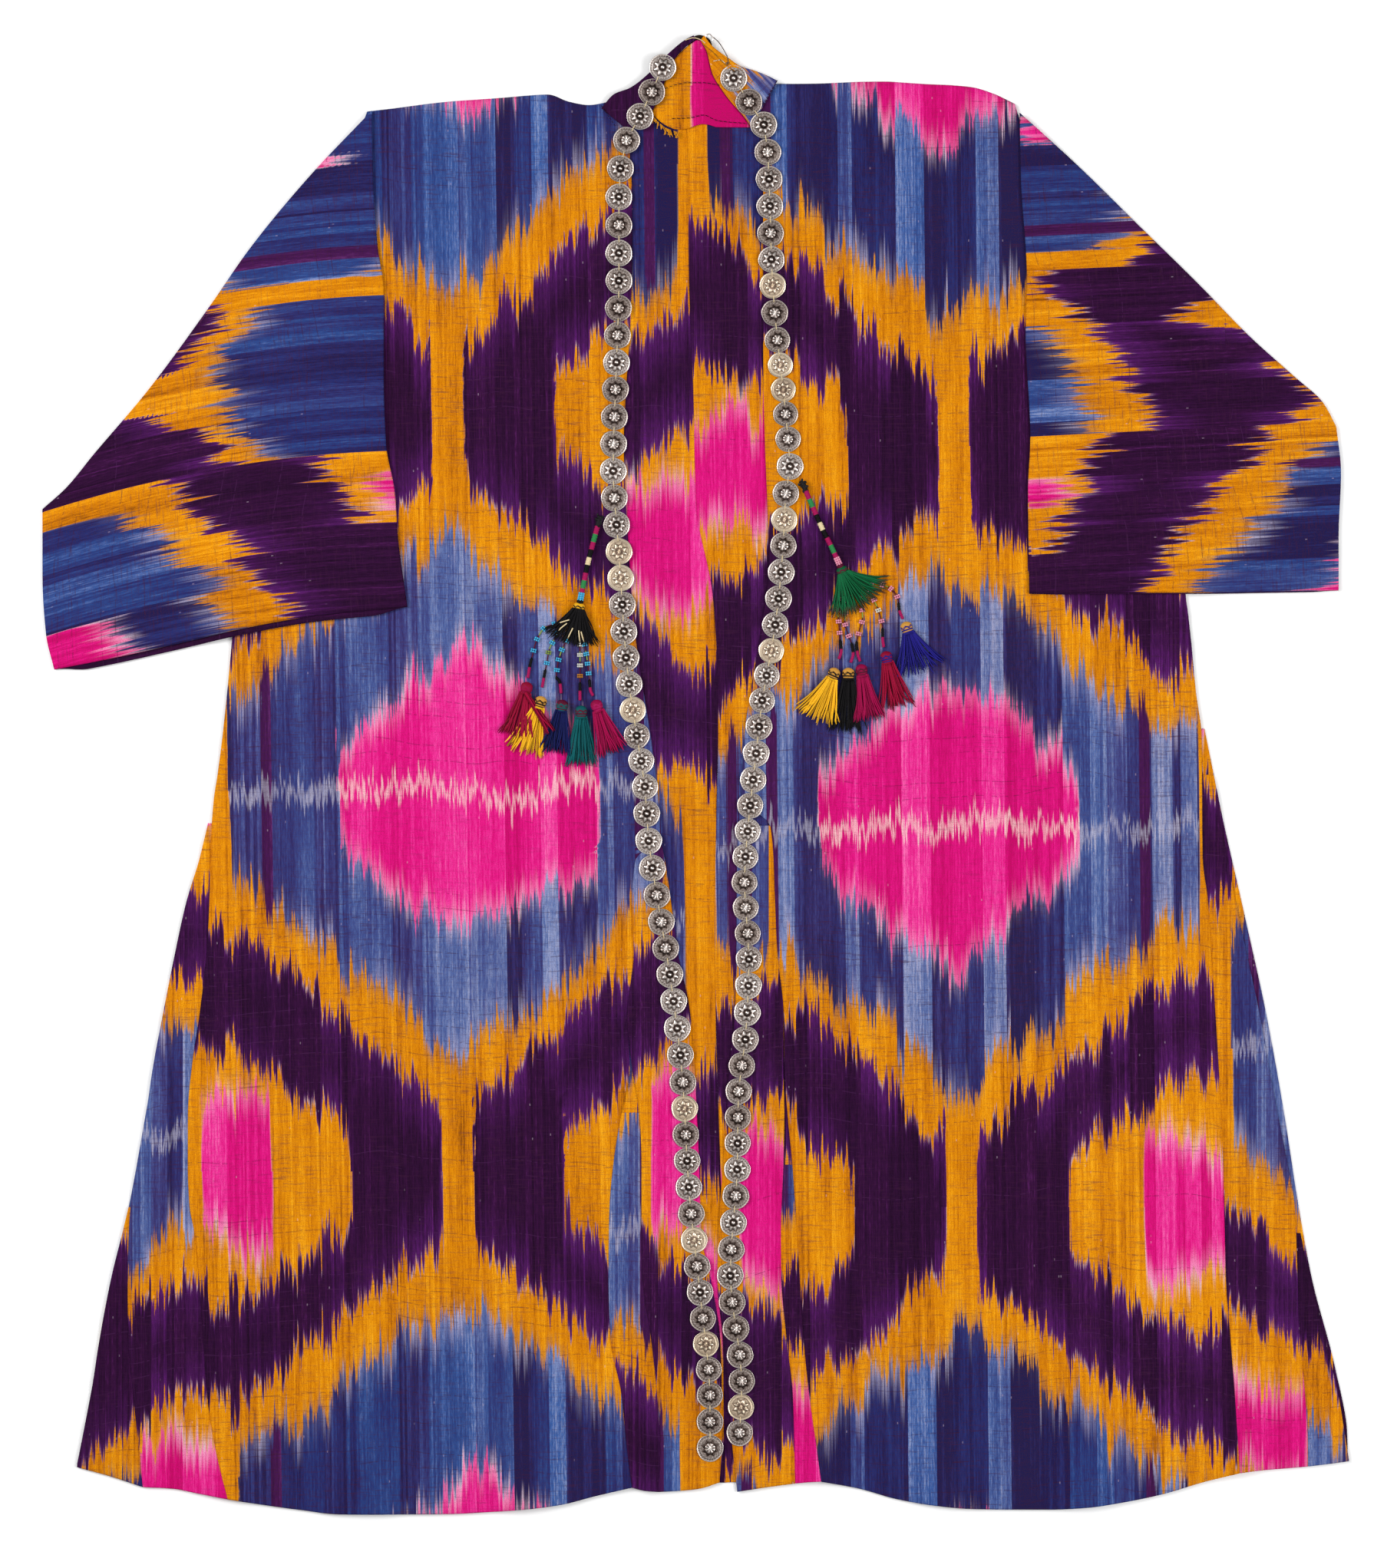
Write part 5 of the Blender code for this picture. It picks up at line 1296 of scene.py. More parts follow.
STITCH_ROWS = (
    StitchRow(((-26, 580), (-18, 583), (-7, 585), (6, 585), (20, 583)), 5.3, 5.6, "#140A14"),
    StitchRow(((-20, 555), (-6, 555.5), (7, 558), (14, 555), (20, 553), (42, 551)), 3.3, 3.6, "#1C0A18"),
    StitchRow(((69, 587), (64, 578), (57, 566)), 5.6, 5.0, "#2A0E30", 2.2, 0.9, 0.4),
    StitchRow(((-80, 566), (-67, 547)), 4.6, 4.6, "#1E0A20", 2.0, 1.2),
    StitchRow(((-9, 620.5), (-2, 622.6), (5, 620.5), (8, 618)), 8.6, 8.4, "#C9B28E", 20.0, 0.0, 0.45),
    StitchRow(((15, 603), (21, 604), (25, 601)), 7.6, 7.4, "#D2C2A4", 3.0, 0.8, 0.35),
    StitchRow(((6, 617), (14, 611), (24, 601), (34, 594)), 8.5, 7.2, "#8A5A1C", 5.0, 1.0, 0.35),
)
# Where the facing frays.
FRINGE = ((-37.5, 559.0), (-31.0, 551.5), (-24.0, 546.5), (-14.0, 543.5))
FRINGE_THREADS = 46


@dataclass
class CollarSewing:
    """Running stitches on the collar and the frayed end of its facing, in sewing thread."""
    material: bpy.types.Material

    @staticmethod
    def add_stitches(parts: MeshParts, row: StitchRow) -> None:
        """One row of stitches, each a short tube that arches by half a sine."""
        length = np.linalg.norm(np.diff(np.array(row.way, float), axis=0), axis=1).sum()
        starts = np.arange(0.0, max(length - row.stitch * 0.5, 0.1), row.stitch + row.gap)
        ends = np.minimum(starts + row.stitch, length)
        share = starts[:, None] + (ends - starts)[:, None] * np.linspace(0, 1, 7)
        plan = along(row.way, share.ravel() / length).reshape(len(starts), 7, 2)
        level = row.low + (row.high - row.low) * share / length
        arch = 0.25 * np.sin(np.linspace(0, math.pi, 7))
        parts.add_tubes(lifted(plan, level + arch), row.radius, dyed=srgb(row.colour))

    @staticmethod
    def add_fringe(parts: MeshParts) -> None:
        """The frayed end of the facing: straight threads, each on its own heading."""
        rng = np.random.default_rng(31)
        root = along(FRINGE, np.sort(rng.random(FRINGE_THREADS)))
        fall = np.linspace(0, 1, 6)[None, :, None]
        heading = np.stack([rng.normal(0.15, 0.35, FRINGE_THREADS), -np.ones(FRINGE_THREADS)],
                           axis=-1)
        length = rng.uniform(2.5, 6.5, FRINGE_THREADS)
        plan = root[:, None] + heading[:, None] * fall * length[:, None, None]
        level = 3.6 - 0.5 * fall[..., 0] + rng.random(FRINGE_THREADS)[:, None] * 0.5
        shades = rng.uniform(0.75, 1.1, FRINGE_THREADS)
        parts.add_tubes(lifted(plan, level), 0.28, dyed=coloured(srgb("#D08A0E"), shades, 6 * 5))

    def build(self) -> bpy.types.Object:
        """All the sewing at the collar as one piece."""
        parts = MeshParts()
        for row in STITCH_ROWS:
            self.add_stitches(parts, row)
        self.add_fringe(parts)
        thing = parts.build("collar_sewing", (self.material,))
        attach(thing, "root")
        LOG.info("collar_sewing: %d points", parts.count)
        return thing


# ---------------------------------------------------------------- thread and bead colours
CRIMSON, YELLOW, NAVY, TEAL = srgb("#80052A"), srgb("#D9A01A"), srgb("#0D1344"), srgb("#064C50")
ROSE, BLACK, GREEN, OCHRE = srgb("#84043A"), srgb("#0B090B"), srgb("#09502E"), srgb("#C08A3A")
MAGENTA, CREAM_THREAD, LEAF = srgb("#98104E"), srgb("#D8C49A"), srgb("#2A7A42")
SAP, WINE, CHARCOAL, VIOLET = srgb("#7F9440"), srgb("#4E0C26"), srgb("#1B1A1C"), srgb("#1B176A")
TURQUOISE, PINK_GLASS = srgb("#3FAFDA"), srgb("#E291AC")
WHITE_GLASS, AMBER = srgb("#D4D4CC"), srgb("#B87818")


# ---------------------------------------------------------------- discs
class Stamp(IntEnum):
    """The three stampings of a disc."""
    WIDE_STAR = 0    # a wide star round a dark ring and a bright boss
    SMALL_STAR = 1   # a small bright star on a dark one
    BACK = 2         # sewn on face down: a small star in plain pale metal


# The discs that lie face down, counted from the top of each chain.
PALE_DISCS = {"disc_chain_left": (18, 19, 24, 39, 44, 48), "disc_chain_right": (8, 11, 12, 17, 22, 51)}
DISC_SIDES = 56
DOME_REACH = 9.6               # corners of a dome closer than this are the same disc's
DISC_RINGS = (0.004, 0.05, 0.1, 0.165, 0.22, 0.28, 0.35, 0.41, 0.46, 0.51, 0.56, 0.61, 0.66, 0.71,
              0.765, 0.81, 0.85, 0.89, 0.93, 0.97, 1.0)
WHOLE_TURN = 6.283
# The wire from the hook at the collar's peak to the ring of the first disc, and the hook (mm).
PEAK_WIRE = ((15.0, 623.4, 6.0), (19.5, 619.0, 7.0), (24.0, 612.0, 7.6), (27.0, 605.5, 7.8),
             (27.6, 601.0, 7.6), (26.2, 600.2, 7.6), (26.0, 601.6, 7.6), (27.4, 602.0, 7.7))
PEAK_HOOK = ((8.0, 623.0, 5.0), (9.2, 625.6, 5.6), (11.6, 626.2, 5.8), (13.4, 624.6, 5.8),
             (14.6, 622.6, 5.8), (14.0, 620.6, 5.6))


@dataclass
class DiscChain:
    """Stamped discs sewn edge to edge, placed where the solid's domes are."""
    name: str
    materials: tuple           # silver, thread

    def centres(self, node: bpy.types.Object) -> np.ndarray:
        """Middle of each disc's dome, from the collar down.

        A dome's corners have no other corner straight below them. The corners closer together
        than a dome is wide are one disc's, and their mean is its middle.
        """
        points = solid_points(node)
        _, back, counts = np.unique(points[:, :2], axis=0, return_inverse=True,
                                    return_counts=True)
        dome = points[counts[back.ravel()] == 1]
        apart = np.linalg.norm(dome[:, None, :2] - dome[None, :, :2], axis=-1) < DOME_REACH
        middles = np.array([dome[near].mean(axis=0) for near in apart])
        middles = np.unique(np.round(middles, 1), axis=0)
        keep = [middles[0]]
        for middle in middles[1:]:
            if min(np.linalg.norm(middle - other) for other in keep) > 5:
                keep.append(middle)
        keep = np.array(keep)
        return keep[np.argsort(-keep[:, 1])]

    @staticmethod
    def stamp(r: np.ndarray, turn: np.ndarray, points: int, kind: Stamp) -> tuple:
        """Height (mm) and brightness of the stamped face.

        A star's edge runs in and out with the turn, and smooth steps across it part the star from
        the band. A boss, a well and petals fill its middle. The band has a line, a rope of 28
        turns and a scroll, each a narrow Gaussian of the radius, and a bright rim.

        Args:
            r: share of the radius.
            turn: angle round the disc.
            points: how many points the star has.
            kind: which of the stampings it is.
        """
        ray = np.abs(((turn * points / (2 * math.pi)) % 1.0) * 2 - 1)
        edge = (0.66, 0.58, 0.6)[kind] - 0.2 * (1 - ray ** 1.3)
        star = smooth_step((edge - r) / 0.06)
        outline = np.exp(-((r - edge - 0.045) / 0.035) ** 2)
        boss = np.exp(-(r / 0.1) ** 2)
        well = smooth_step((r - 0.1) / 0.04) * smooth_step((0.32 - r) / 0.05)
        petals = smooth_step((0.38 - r) / 0.05) * (0.4 + 0.6 * ray)
        rays = star * ray ** 2 * smooth_step((r - 0.28) / 0.08)
        line = np.exp(-((r - 0.76) / 0.022) ** 2)
        rope = np.exp(-((r - 0.85) / 0.045) ** 2) * np.cos(turn * 28)
        scroll = np.exp(-((r - 0.72) / 0.05) ** 2) * np.cos(turn * 19 + r * 30)
        rim = smooth_step((r - 0.92) / 0.03)
        band = 0.55 + 0.14 * line + 0.17 * rope + 0.16 * scroll + 0.24 * rim
        if kind is Stamp.WIDE_STAR:
            face = 0.5 + 0.5 * rays - 0.42 * well + 0.5 * boss
            height = 1.2 * star * (1 - 0.5 * smooth_step(r / 0.6)) - 0.45 * well + 0.7 * boss
        elif kind is Stamp.SMALL_STAR:
            face = 0.02 + 0.12 * rays + 1.3 * petals * (1 - 0.35 * well) + 0.4 * boss
            height = 0.35 * star + 0.5 * petals + 0.3 * boss
        else:
            face = 0.62 + 0.4 * rays - 0.3 * well + 0.3 * boss
            band = 0.74 + 0.16 * rim - 0.3 * np.exp(-((r - 0.7) / 0.025) ** 2)
            height = 0.5 * star * (0.4 + 0.6 * ray) + 0.3 * boss
        tone = star * face + (1 - star) * band - (0.45, 0.5, 0.65)[kind] * outline
        height = height - 0.35 * outline + 0.25 * line + 0.2 * rope + 0.4 * rim
        return height, np.clip(tone, 0, 1)

    def add_disc(self, parts: MeshParts, number: int, centres: np.ndarray, chance: float) -> None:
        """One disc: its stamped face, a rim down to its seat, and its underside.

        Args:
            parts: where it goes.
            number: which of the discs it is.
            centres: the middles of them all.
            chance: its own random number, which sets its turn, its stamping and how light it is.
        """
        x, y, z = centres[number]
        alone = len(centres) == 1
        apart = np.sort(np.linalg.norm(centres - centres[number], axis=1))
        radius = DISC_RADIUS if alone else min(11.3, apart[1] / 2 + 0.1)
        pale = number in PALE_DISCS.get(self.name, ())
        kind = Stamp.BACK if pale else Stamp(int(chance < 0.45))
        spin = WHOLE_TURN * chance
        around = 2 * math.pi * np.arange(DISC_SIDES) / DISC_SIDES
        r, angle = np.meshgrid(DISC_RINGS, around, indexing="ij")
        height, tone = self.stamp(r, angle, 8 + (number * 7 % 3 > 1), kind)
        if alone:
            tone = tone * 0.12
        wobble = 1 + 0.012 * np.sin(3 * angle + spin) + 0.008 * np.sin(7 * angle + 2 * spin)
        seat = z - DISC_DOME
        face = np.stack([x + radius * wobble * r * np.cos(angle + spin),
                         y + radius * wobble * r * np.sin(angle + spin),
                         seat + 0.3 + 0.5 * (1 - r ** 2) + height], axis=-1)
        low = face[-1].copy()
        low[:, 2] = seat
        under = np.broadcast_to((x, y, seat), (1, DISC_SIDES, 3))
        level = np.concatenate([tone, np.full((2, DISC_SIDES), 0.1)])
        stamp = np.stack([level, np.full_like(level, float(pale)), np.full_like(level, chance)],
                         axis=-1)
        quads = grid_quads(len(DISC_RINGS) + 2, DISC_SIDES, closed=True)[:, ::-1]
        parts.add(np.concatenate([face, low[None], under]), quads, stamp=stamp.reshape(-1, 3))

    @staticmethod
    def add_links(parts: MeshParts, centres: np.ndarray) -> None:
        """The thread between each disc and the next: a tube that arches by a parabola."""
        a, b = centres[:-1], centres[1:]
        heading = (b - a) / np.linalg.norm(b - a, axis=1, keepdims=True)
        middle = (a + b) / 2 - (0, 0, 1.2)
        share = np.linspace(-1, 1, 7)[None, :, None]
        route = middle[:, None] + heading[:, None] * share * 2.6
        route[..., 2] += 1.3 * (1 - share[..., 0] ** 2)
        parts.add_tubes(route, 0.4, slot=1, dyed=CREAM_THREAD, stamp=(0.9, 1.0, 0.5))

    def build(self, node: bpy.types.Object) -> bpy.types.Object:
        """The discs with the threads between them, or the single disc with its wire and hook."""
        centres = self.centres(node)
        LOG.info("%s: %d discs", self.name, len(centres))
        parts = MeshParts()
        chances = np.sin(np.arange(1, len(centres) + 1) * 12.9898) * 43758.5453
        for number, chance in enumerate(np.abs(np.modf(chances)[0])):
            self.add_disc(parts, number, centres, chance)
        if len(centres) > 1:
            self.add_links(parts, centres)
        else:
            for way, radius, bright in ((PEAK_WIRE, 0.4, 0.4), (PEAK_HOOK, 0.6, 0.95)):
                route = along(way, np.linspace(0, 1, 24))[None]
                parts.add_tubes(route, radius, stamp=(bright, 0.0, 0.5))
        thing = parts.build("stamped_" + self.name, self.materials)
        declare_solid(thing, self.name)
        return thing


# ---------------------------------------------------------------- ornaments and tassels
TUFTS = 26                     # of frayed floss at the top of each stem


@dataclass(frozen=True)
class TasselLook:
    """A tassel on its string: route, head, fan of strands and colours."""
    name: str
    slot: str
    string: tuple              # points of the string, from the ornament down
    head: tuple                # middle of its bound head
    fan: tuple                 # directions of the first and last strand, in degrees
    length: float              # of the strands
    high: bool                 # it lies on its neighbours
    colour: tuple              # of the floss
    cap: tuple                 # of the head
    figure: tuple              # of what is worked round the head
    beads: tuple               # colours of the bead clusters, repeated down the string
    over: bool = False         # its string starts on top of the skirt, in cream
    lock: tuple = ()           # where a stray lock of strands ends


TASSELS = (
    TasselLook("tassel_left_crimson_outer", "crimson_thread",
               ((-106, 131), (-116, 128), (-126, 125), (-134, 113), (-138, 98), (-140, 89), (-141, 82)),
               (-142, 74), (-87, -118), 41, True, CRIMSON, CRIMSON, ROSE, (TURQUOISE,), True, (-121, 37)),
    TasselLook("tassel_left_yellow", "yellow_thread",
               ((-108, 128), (-114, 123), (-118, 116), (-123, 106), (-125, 95), (-127, 85), (-129, 74)),
               (-130, 62), (-89, -126), 45, False, YELLOW, OCHRE, BLACK, (TURQUOISE, TURQUOISE, SAP), True),
    TasselLook("tassel_left_navy", "navy_thread",
               ((-103, 124), (-107, 116), (-113, 104), (-116, 93), (-117, 83), (-114, 78), (-113, 69)),
               (-112, 59), (-84, -115), 40, True, NAVY, WINE, TEAL, (TURQUOISE,), True),
    TasselLook("tassel_left_teal", "teal_thread",
               ((-98, 122), (-97, 108), (-97, 95), (-97, 85), (-97, 74), (-97, 63)),
               (-96, 54), (-77, -104), 45, False, TEAL, TEAL, WINE,
               (WHITE_GLASS, WHITE_GLASS, WHITE_GLASS, AMBER), True),
    TasselLook("tassel_left_crimson_inner", "crimson_thread",
               ((-96, 121), (-93, 109), (-91, 98), (-90, 89), (-89, 79), (-88, 71), (-86, 67)),
               (-83, 59), (-57, -86), 42, True, ROSE, ROSE, MAGENTA, (TURQUOISE,), True),
    TasselLook("tassel_right_yellow", "yellow_thread",
               ((125, 161), (125, 149), (121, 139), (122, 128), (123, 115), (124, 105), (122, 98)),
               (118, 86), (-88, -138), 42, True, YELLOW, OCHRE, BLACK, (PINK_GLASS,)),
    TasselLook("tassel_right_black", "black_thread",
               ((129, 160), (128, 149), (127, 142), (127, 130), (129, 121), (133, 110), (134, 102),
                (132, 95)),
               (130, 86), (-77, -106), 48, False, BLACK, OCHRE, BLACK, (PINK_GLASS,)),
    TasselLook("tassel_right_crimson_inner", "crimson_thread",
               ((133, 161), (138, 154), (141, 144), (142, 133), (139, 121), (137, 110), (138, 102),
                (140, 96)),
               (141, 89), (-67, -94), 42, True, ROSE, ROSE, WINE, (PINK_GLASS,)),
    TasselLook("tassel_right_crimson_outer", "crimson_thread",
               ((137, 164), (142, 161), (148, 154), (153, 145), (157, 134), (159, 123), (159, 115),
                (160, 108)),
               (162, 100), (-61, -93), 43, False, CRIMSON, CRIMSON, VIOLET,
               (PINK_GLASS, PINK_GLASS, WHITE_GLASS)),
    TasselLook("tassel_right_navy", "navy_thread",
               ((140, 167), (152, 163), (165, 158), (172, 149), (173, 140), (176, 132)),
               (179, 125), (-40, -103), 41, True, VIOLET, OCHRE, VIOLET, (PINK_GLASS,)),
)


@dataclass(frozen=True)
class OrnamentLook:
    """A wrapped stem with its knot and skirt."""
    name: str
    slot: str
    route: tuple               # points of the stem, from its top down
    fan: tuple                 # directions of the skirt's first and last strand, in degrees
    length: float              # of the strands
    skirt: tuple               # their colour,
    tips: tuple                # that of their ends,
    collar: tuple              # of the knot,
    figure: tuple              # of what is worked round it,
    beads: tuple               # and of the beads above it


# Both stems are wrapped in the same bands, from the top down.
STEM_BANDS = (MAGENTA, LEAF, MAGENTA, BLACK, CREAM_THREAD, BLACK, MAGENTA, LEAF, MAGENTA)
ORNAMENTS = (
    OrnamentLook("ornament_left", "black_thread",
                 ((-80, 218), (-83, 207), (-87, 192), (-91, 176), (-94, 161), (-96, 151)),
                 (-62, -145), 30, BLACK, BLACK, YELLOW, BLACK, TURQUOISE),
    OrnamentLook("ornament_right", "green_thread",
                 ((91, 248), (94, 240), (101, 224), (108, 208), (116, 192), (121, 181)),
                 (-5, -105), 35, GREEN, WINE, GREEN, WINE, PINK_GLASS),
)
STRAND_STEPS = 8
STRAND_SIDES = 5
STRAND_RADIUS = 0.68
TASSEL_STRANDS = 46
SKIRT_STRANDS = 90


def heading_of(angle: float) -> np.ndarray:
    """The unit vector at an angle."""
    return np.array((math.cos(angle), math.sin(angle)))


@dataclass(frozen=True)
class StrandFan:
    """A fan of strands lying on the cloth."""
    root: np.ndarray           # middle of the edge it starts from
    heading: float             # angle at which it leaves that edge
    root_half: float           # half width of the edge
    fan: tuple                 # directions of the first and last strand, in degrees
    length: float
    count: int
    base: float                # level of the cloth under it
    seed: int

    def add(self, parts: MeshParts, colour: tuple, thick: float = 1.0, tips: tuple = ()) -> None:
        """Adds the strands as tubes, with painted shade and light by layer: the lower of their three layers
        darker, the top one lighter.

        A strand runs straight on its own direction, plus a part of the fan's heading that rises
        and falls as t (1 - t), plus a bend across it as t times a sine.

        Args:
            parts: where they go.
            colour: of the floss.
            thick: how thick a strand is, as a share of STRAND_RADIUS.
            tips: the colour that is mixed into the strands' ends.
        """
        rng = np.random.default_rng(self.seed)
        count = self.count
        share = (np.arange(count) + 0.5) / count
        layer = rng.permutation(count) % 3
        side = heading_of(self.heading)[::-1] * (-1, 1)
        start = self.root + side * ((0.5 - share) * 2 * self.root_half)[:, None]
        first, last = self.fan
        angle = np.radians(first + (last - first) * share) + rng.normal(0, 0.035, count)
        reach = self.length * (1 + rng.normal(0, 0.05, count))
        t = np.linspace(0, 1, STRAND_STEPS)
        out = np.stack([np.cos(angle), np.sin(angle)], axis=-1)
        bend = np.stack([-out[:, 1], out[:, 0]], axis=-1) * rng.normal(0, 1.1, count)[:, None]
        early = (heading_of(self.heading)[None, None] * (t * (1 - t) * 0.35)[None, :, None]
                 * reach[:, None, None])
        plan = (start[:, None] + out[:, None] * (t[None, :, None] * reach[:, None, None]) + early
                + bend[:, None] * np.sin(t * 5.0)[None, :, None] * t[None, :, None])
        z = (self.base + 0.6 + layer[:, None] * 0.8 * (1 - 0.5 * t)[None]
             + 2.0 * (1 - smooth_step(t / 0.35))[None])
        radii = np.broadcast_to(STRAND_RADIUS * (1 - 0.15 * t)[None], (count, len(t))).copy()
        radii[:, -1] = 0.25
        # Painted shade and light: strands in the lower layers, where others lie over them, are made darker,
        # and those in the top layer lighter.
        depth = np.where(layer == 2, 1.2, np.where(layer == 1, 0.85, 0.5))
        shades = depth * rng.uniform(0.75, 1.25, count)
        dyed = coloured(colour, shades, STRAND_STEPS * STRAND_SIDES)
        if tips:
            dyed = dyed.reshape(-1, STRAND_STEPS, STRAND_SIDES, 4)
            dyed[:, 6:] = 0.5 * dyed[:, 6:] + 0.5 * np.array(tips)
            dyed = dyed.reshape(-1, 4)
        parts.add_tubes(lifted(plan, z), radii * thick, STRAND_SIDES, dyed=dyed)


@dataclass(frozen=True)
class BoundHead:
    """A bound head: a rounded tube with a figure worked round it, tied at its waist."""
    crown: np.ndarray          # where it starts
    forward: np.ndarray        # its direction
    length: float
    width: float               # half width
    height: float              # as a share of the width
    level: float               # of its middle
    cap: tuple                 # its colour,
    figure: tuple              # that of its figure and its tie,
    below: tuple               # and that of the floss below them

    def add(self, parts: MeshParts) -> None:
        """Adds the head; its figure is a zigzag, abs of a sawtooth round the turn, and a ring."""
        rows, sides = 26, 28
        t = np.linspace(0, 1, rows)
        profile = np.interp(t, (0, 0.07, 0.2, 0.4, 0.62, 0.76, 0.84, 0.92, 1.0),
                            (0.2, 0.6, 0.9, 1.0, 0.97, 0.84, 0.76, 0.86, 1.0))
        spine = self.crown + self.forward * (t * self.length)[:, None]
        wave = np.abs(((np.arange(sides)[None] / sides * 6 + 0.13) % 1.0) - 0.5) * 2
        t = t[:, None]
        worked = (np.abs(t - 0.36 - 0.16 * wave) < 0.075) | (np.abs(t - 0.64) < 0.05)
        worked = worked | (np.abs(t - 0.82) < 0.05)
        dyed = np.where(worked[..., None], np.array(self.figure),
                        np.where((t[..., None] > 0.86), np.array(self.below), np.array(self.cap)))
        parts.add_tubes(lifted(spine, self.level)[None], (profile * self.width)[None], sides,
                        height=self.height, dyed=dyed.reshape(-1, 4))


def add_beads(parts: MeshParts, spots: np.ndarray, headings: np.ndarray, colour: tuple,
              level: float, size: float = 0.95) -> None:
    """Clusters of six seed beads, three across the string and two along it.

    Args:
        parts: where they go.
        spots: middles of the clusters, in plan.
        headings: the string's direction at each.
        colour: of the glass.
        level: height of the clusters.
        size: a bead's radius.
    """
    side = np.stack([-headings[:, 1], headings[:, 0]], axis=-1)
    middles = np.concatenate([spots + side * a + headings * b
                              for a in (-1.65, 0.0, 1.65) for b in (-0.9, 0.9)])
    centres = lifted(middles, level)
    centres[:, 2] += np.repeat((-0.3, -0.3, 0.5, 0.5, -0.3, -0.3), len(spots))
    parts.add_blobs(centres, np.full((len(centres), 3), size), slot=1, dyed=colour)


@dataclass
class Tassel:
    """A small tassel: beaded string, bound head and floss."""
    look: TasselLook
    materials: tuple           # thread, glass
    seed: int = 0

    def add_string(self, parts: MeshParts) -> None:
        """The string, wound with floss at its lower end, and its clusters of beads."""
        look = self.look
        t = np.linspace(0, 1, 72)
        string = along(look.string, t) - OUTLINE_CENTRE
        lift = 4.0 * (1 - smooth_step((t - 0.08) / 0.14)) if look.over else np.zeros_like(t)
        wound = 0.75 * smooth_step((t - 0.74) / 0.02) * (1 + 0.14 * np.sin(t * 260))
        first = CREAM_THREAD if look.over else WINE
        part_of = np.digitize(t, (0.17, 0.30, 0.44, 0.58, 0.74, 0.87))
        dyed = np.array((first, WINE, SAP, WINE, WINE, BLACK, MAGENTA))[part_of]
        parts.add_tubes(lifted(string, LOW_LEVEL + 0.6 + wound + lift)[None], (0.52 + wound)[None],
                        8, dyed=np.repeat(dyed, 8, axis=0))
        at = np.array([0.20, 0.35, 0.50, 0.65])
        spots = along(look.string, at) - OUTLINE_CENTRE
        headings = along(look.string, at + 0.02) - OUTLINE_CENTRE - spots
        headings /= np.linalg.norm(headings, axis=1, keepdims=True)
        for k in range(len(at)):
            add_beads(parts, spots[k:k + 1], headings[k:k + 1], look.beads[k % len(look.beads)],
                      LOW_LEVEL + 1.5)

    def build(self) -> bpy.types.Object:
        """The string, the head, the floss and, on one tassel, its stray lock."""
        look = self.look
        parts = MeshParts()
        self.add_string(parts)
        heading = math.radians(sum(look.fan) / 2)
        forward = heading_of(heading)
        crown = np.array(look.head, float) - OUTLINE_CENTRE - forward * 4.5
        BoundHead(crown, forward, 11.0, 5.1, 0.69, LOW_LEVEL + 3.4,
                  look.cap, look.figure, look.colour).add(parts)
        root = crown + forward * 9.0
        base = LOW_LEVEL + (0.9 if look.high else 0.0)
        StrandFan(root, heading, 4.6, look.fan, look.length - 4.3, TASSEL_STRANDS, base,
                  100 + self.seed).add(parts, look.colour)
        if look.lock:
            way = np.array(look.lock, float) - OUTLINE_CENTRE - root
            turn = math.atan2(way[1], way[0])
            fan = (math.degrees(turn) + 3, math.degrees(turn) - 3)
            StrandFan(root, turn, 1.6, fan, float(np.linalg.norm(way)), 8, base + 2.6,
                      300 + self.seed).add(parts, look.colour)
        thing = parts.build("floss_" + look.name, self.materials)
        declare_solid(thing, look.name)
        LOG.info("%s: %d points", look.name, parts.count)
        return thing


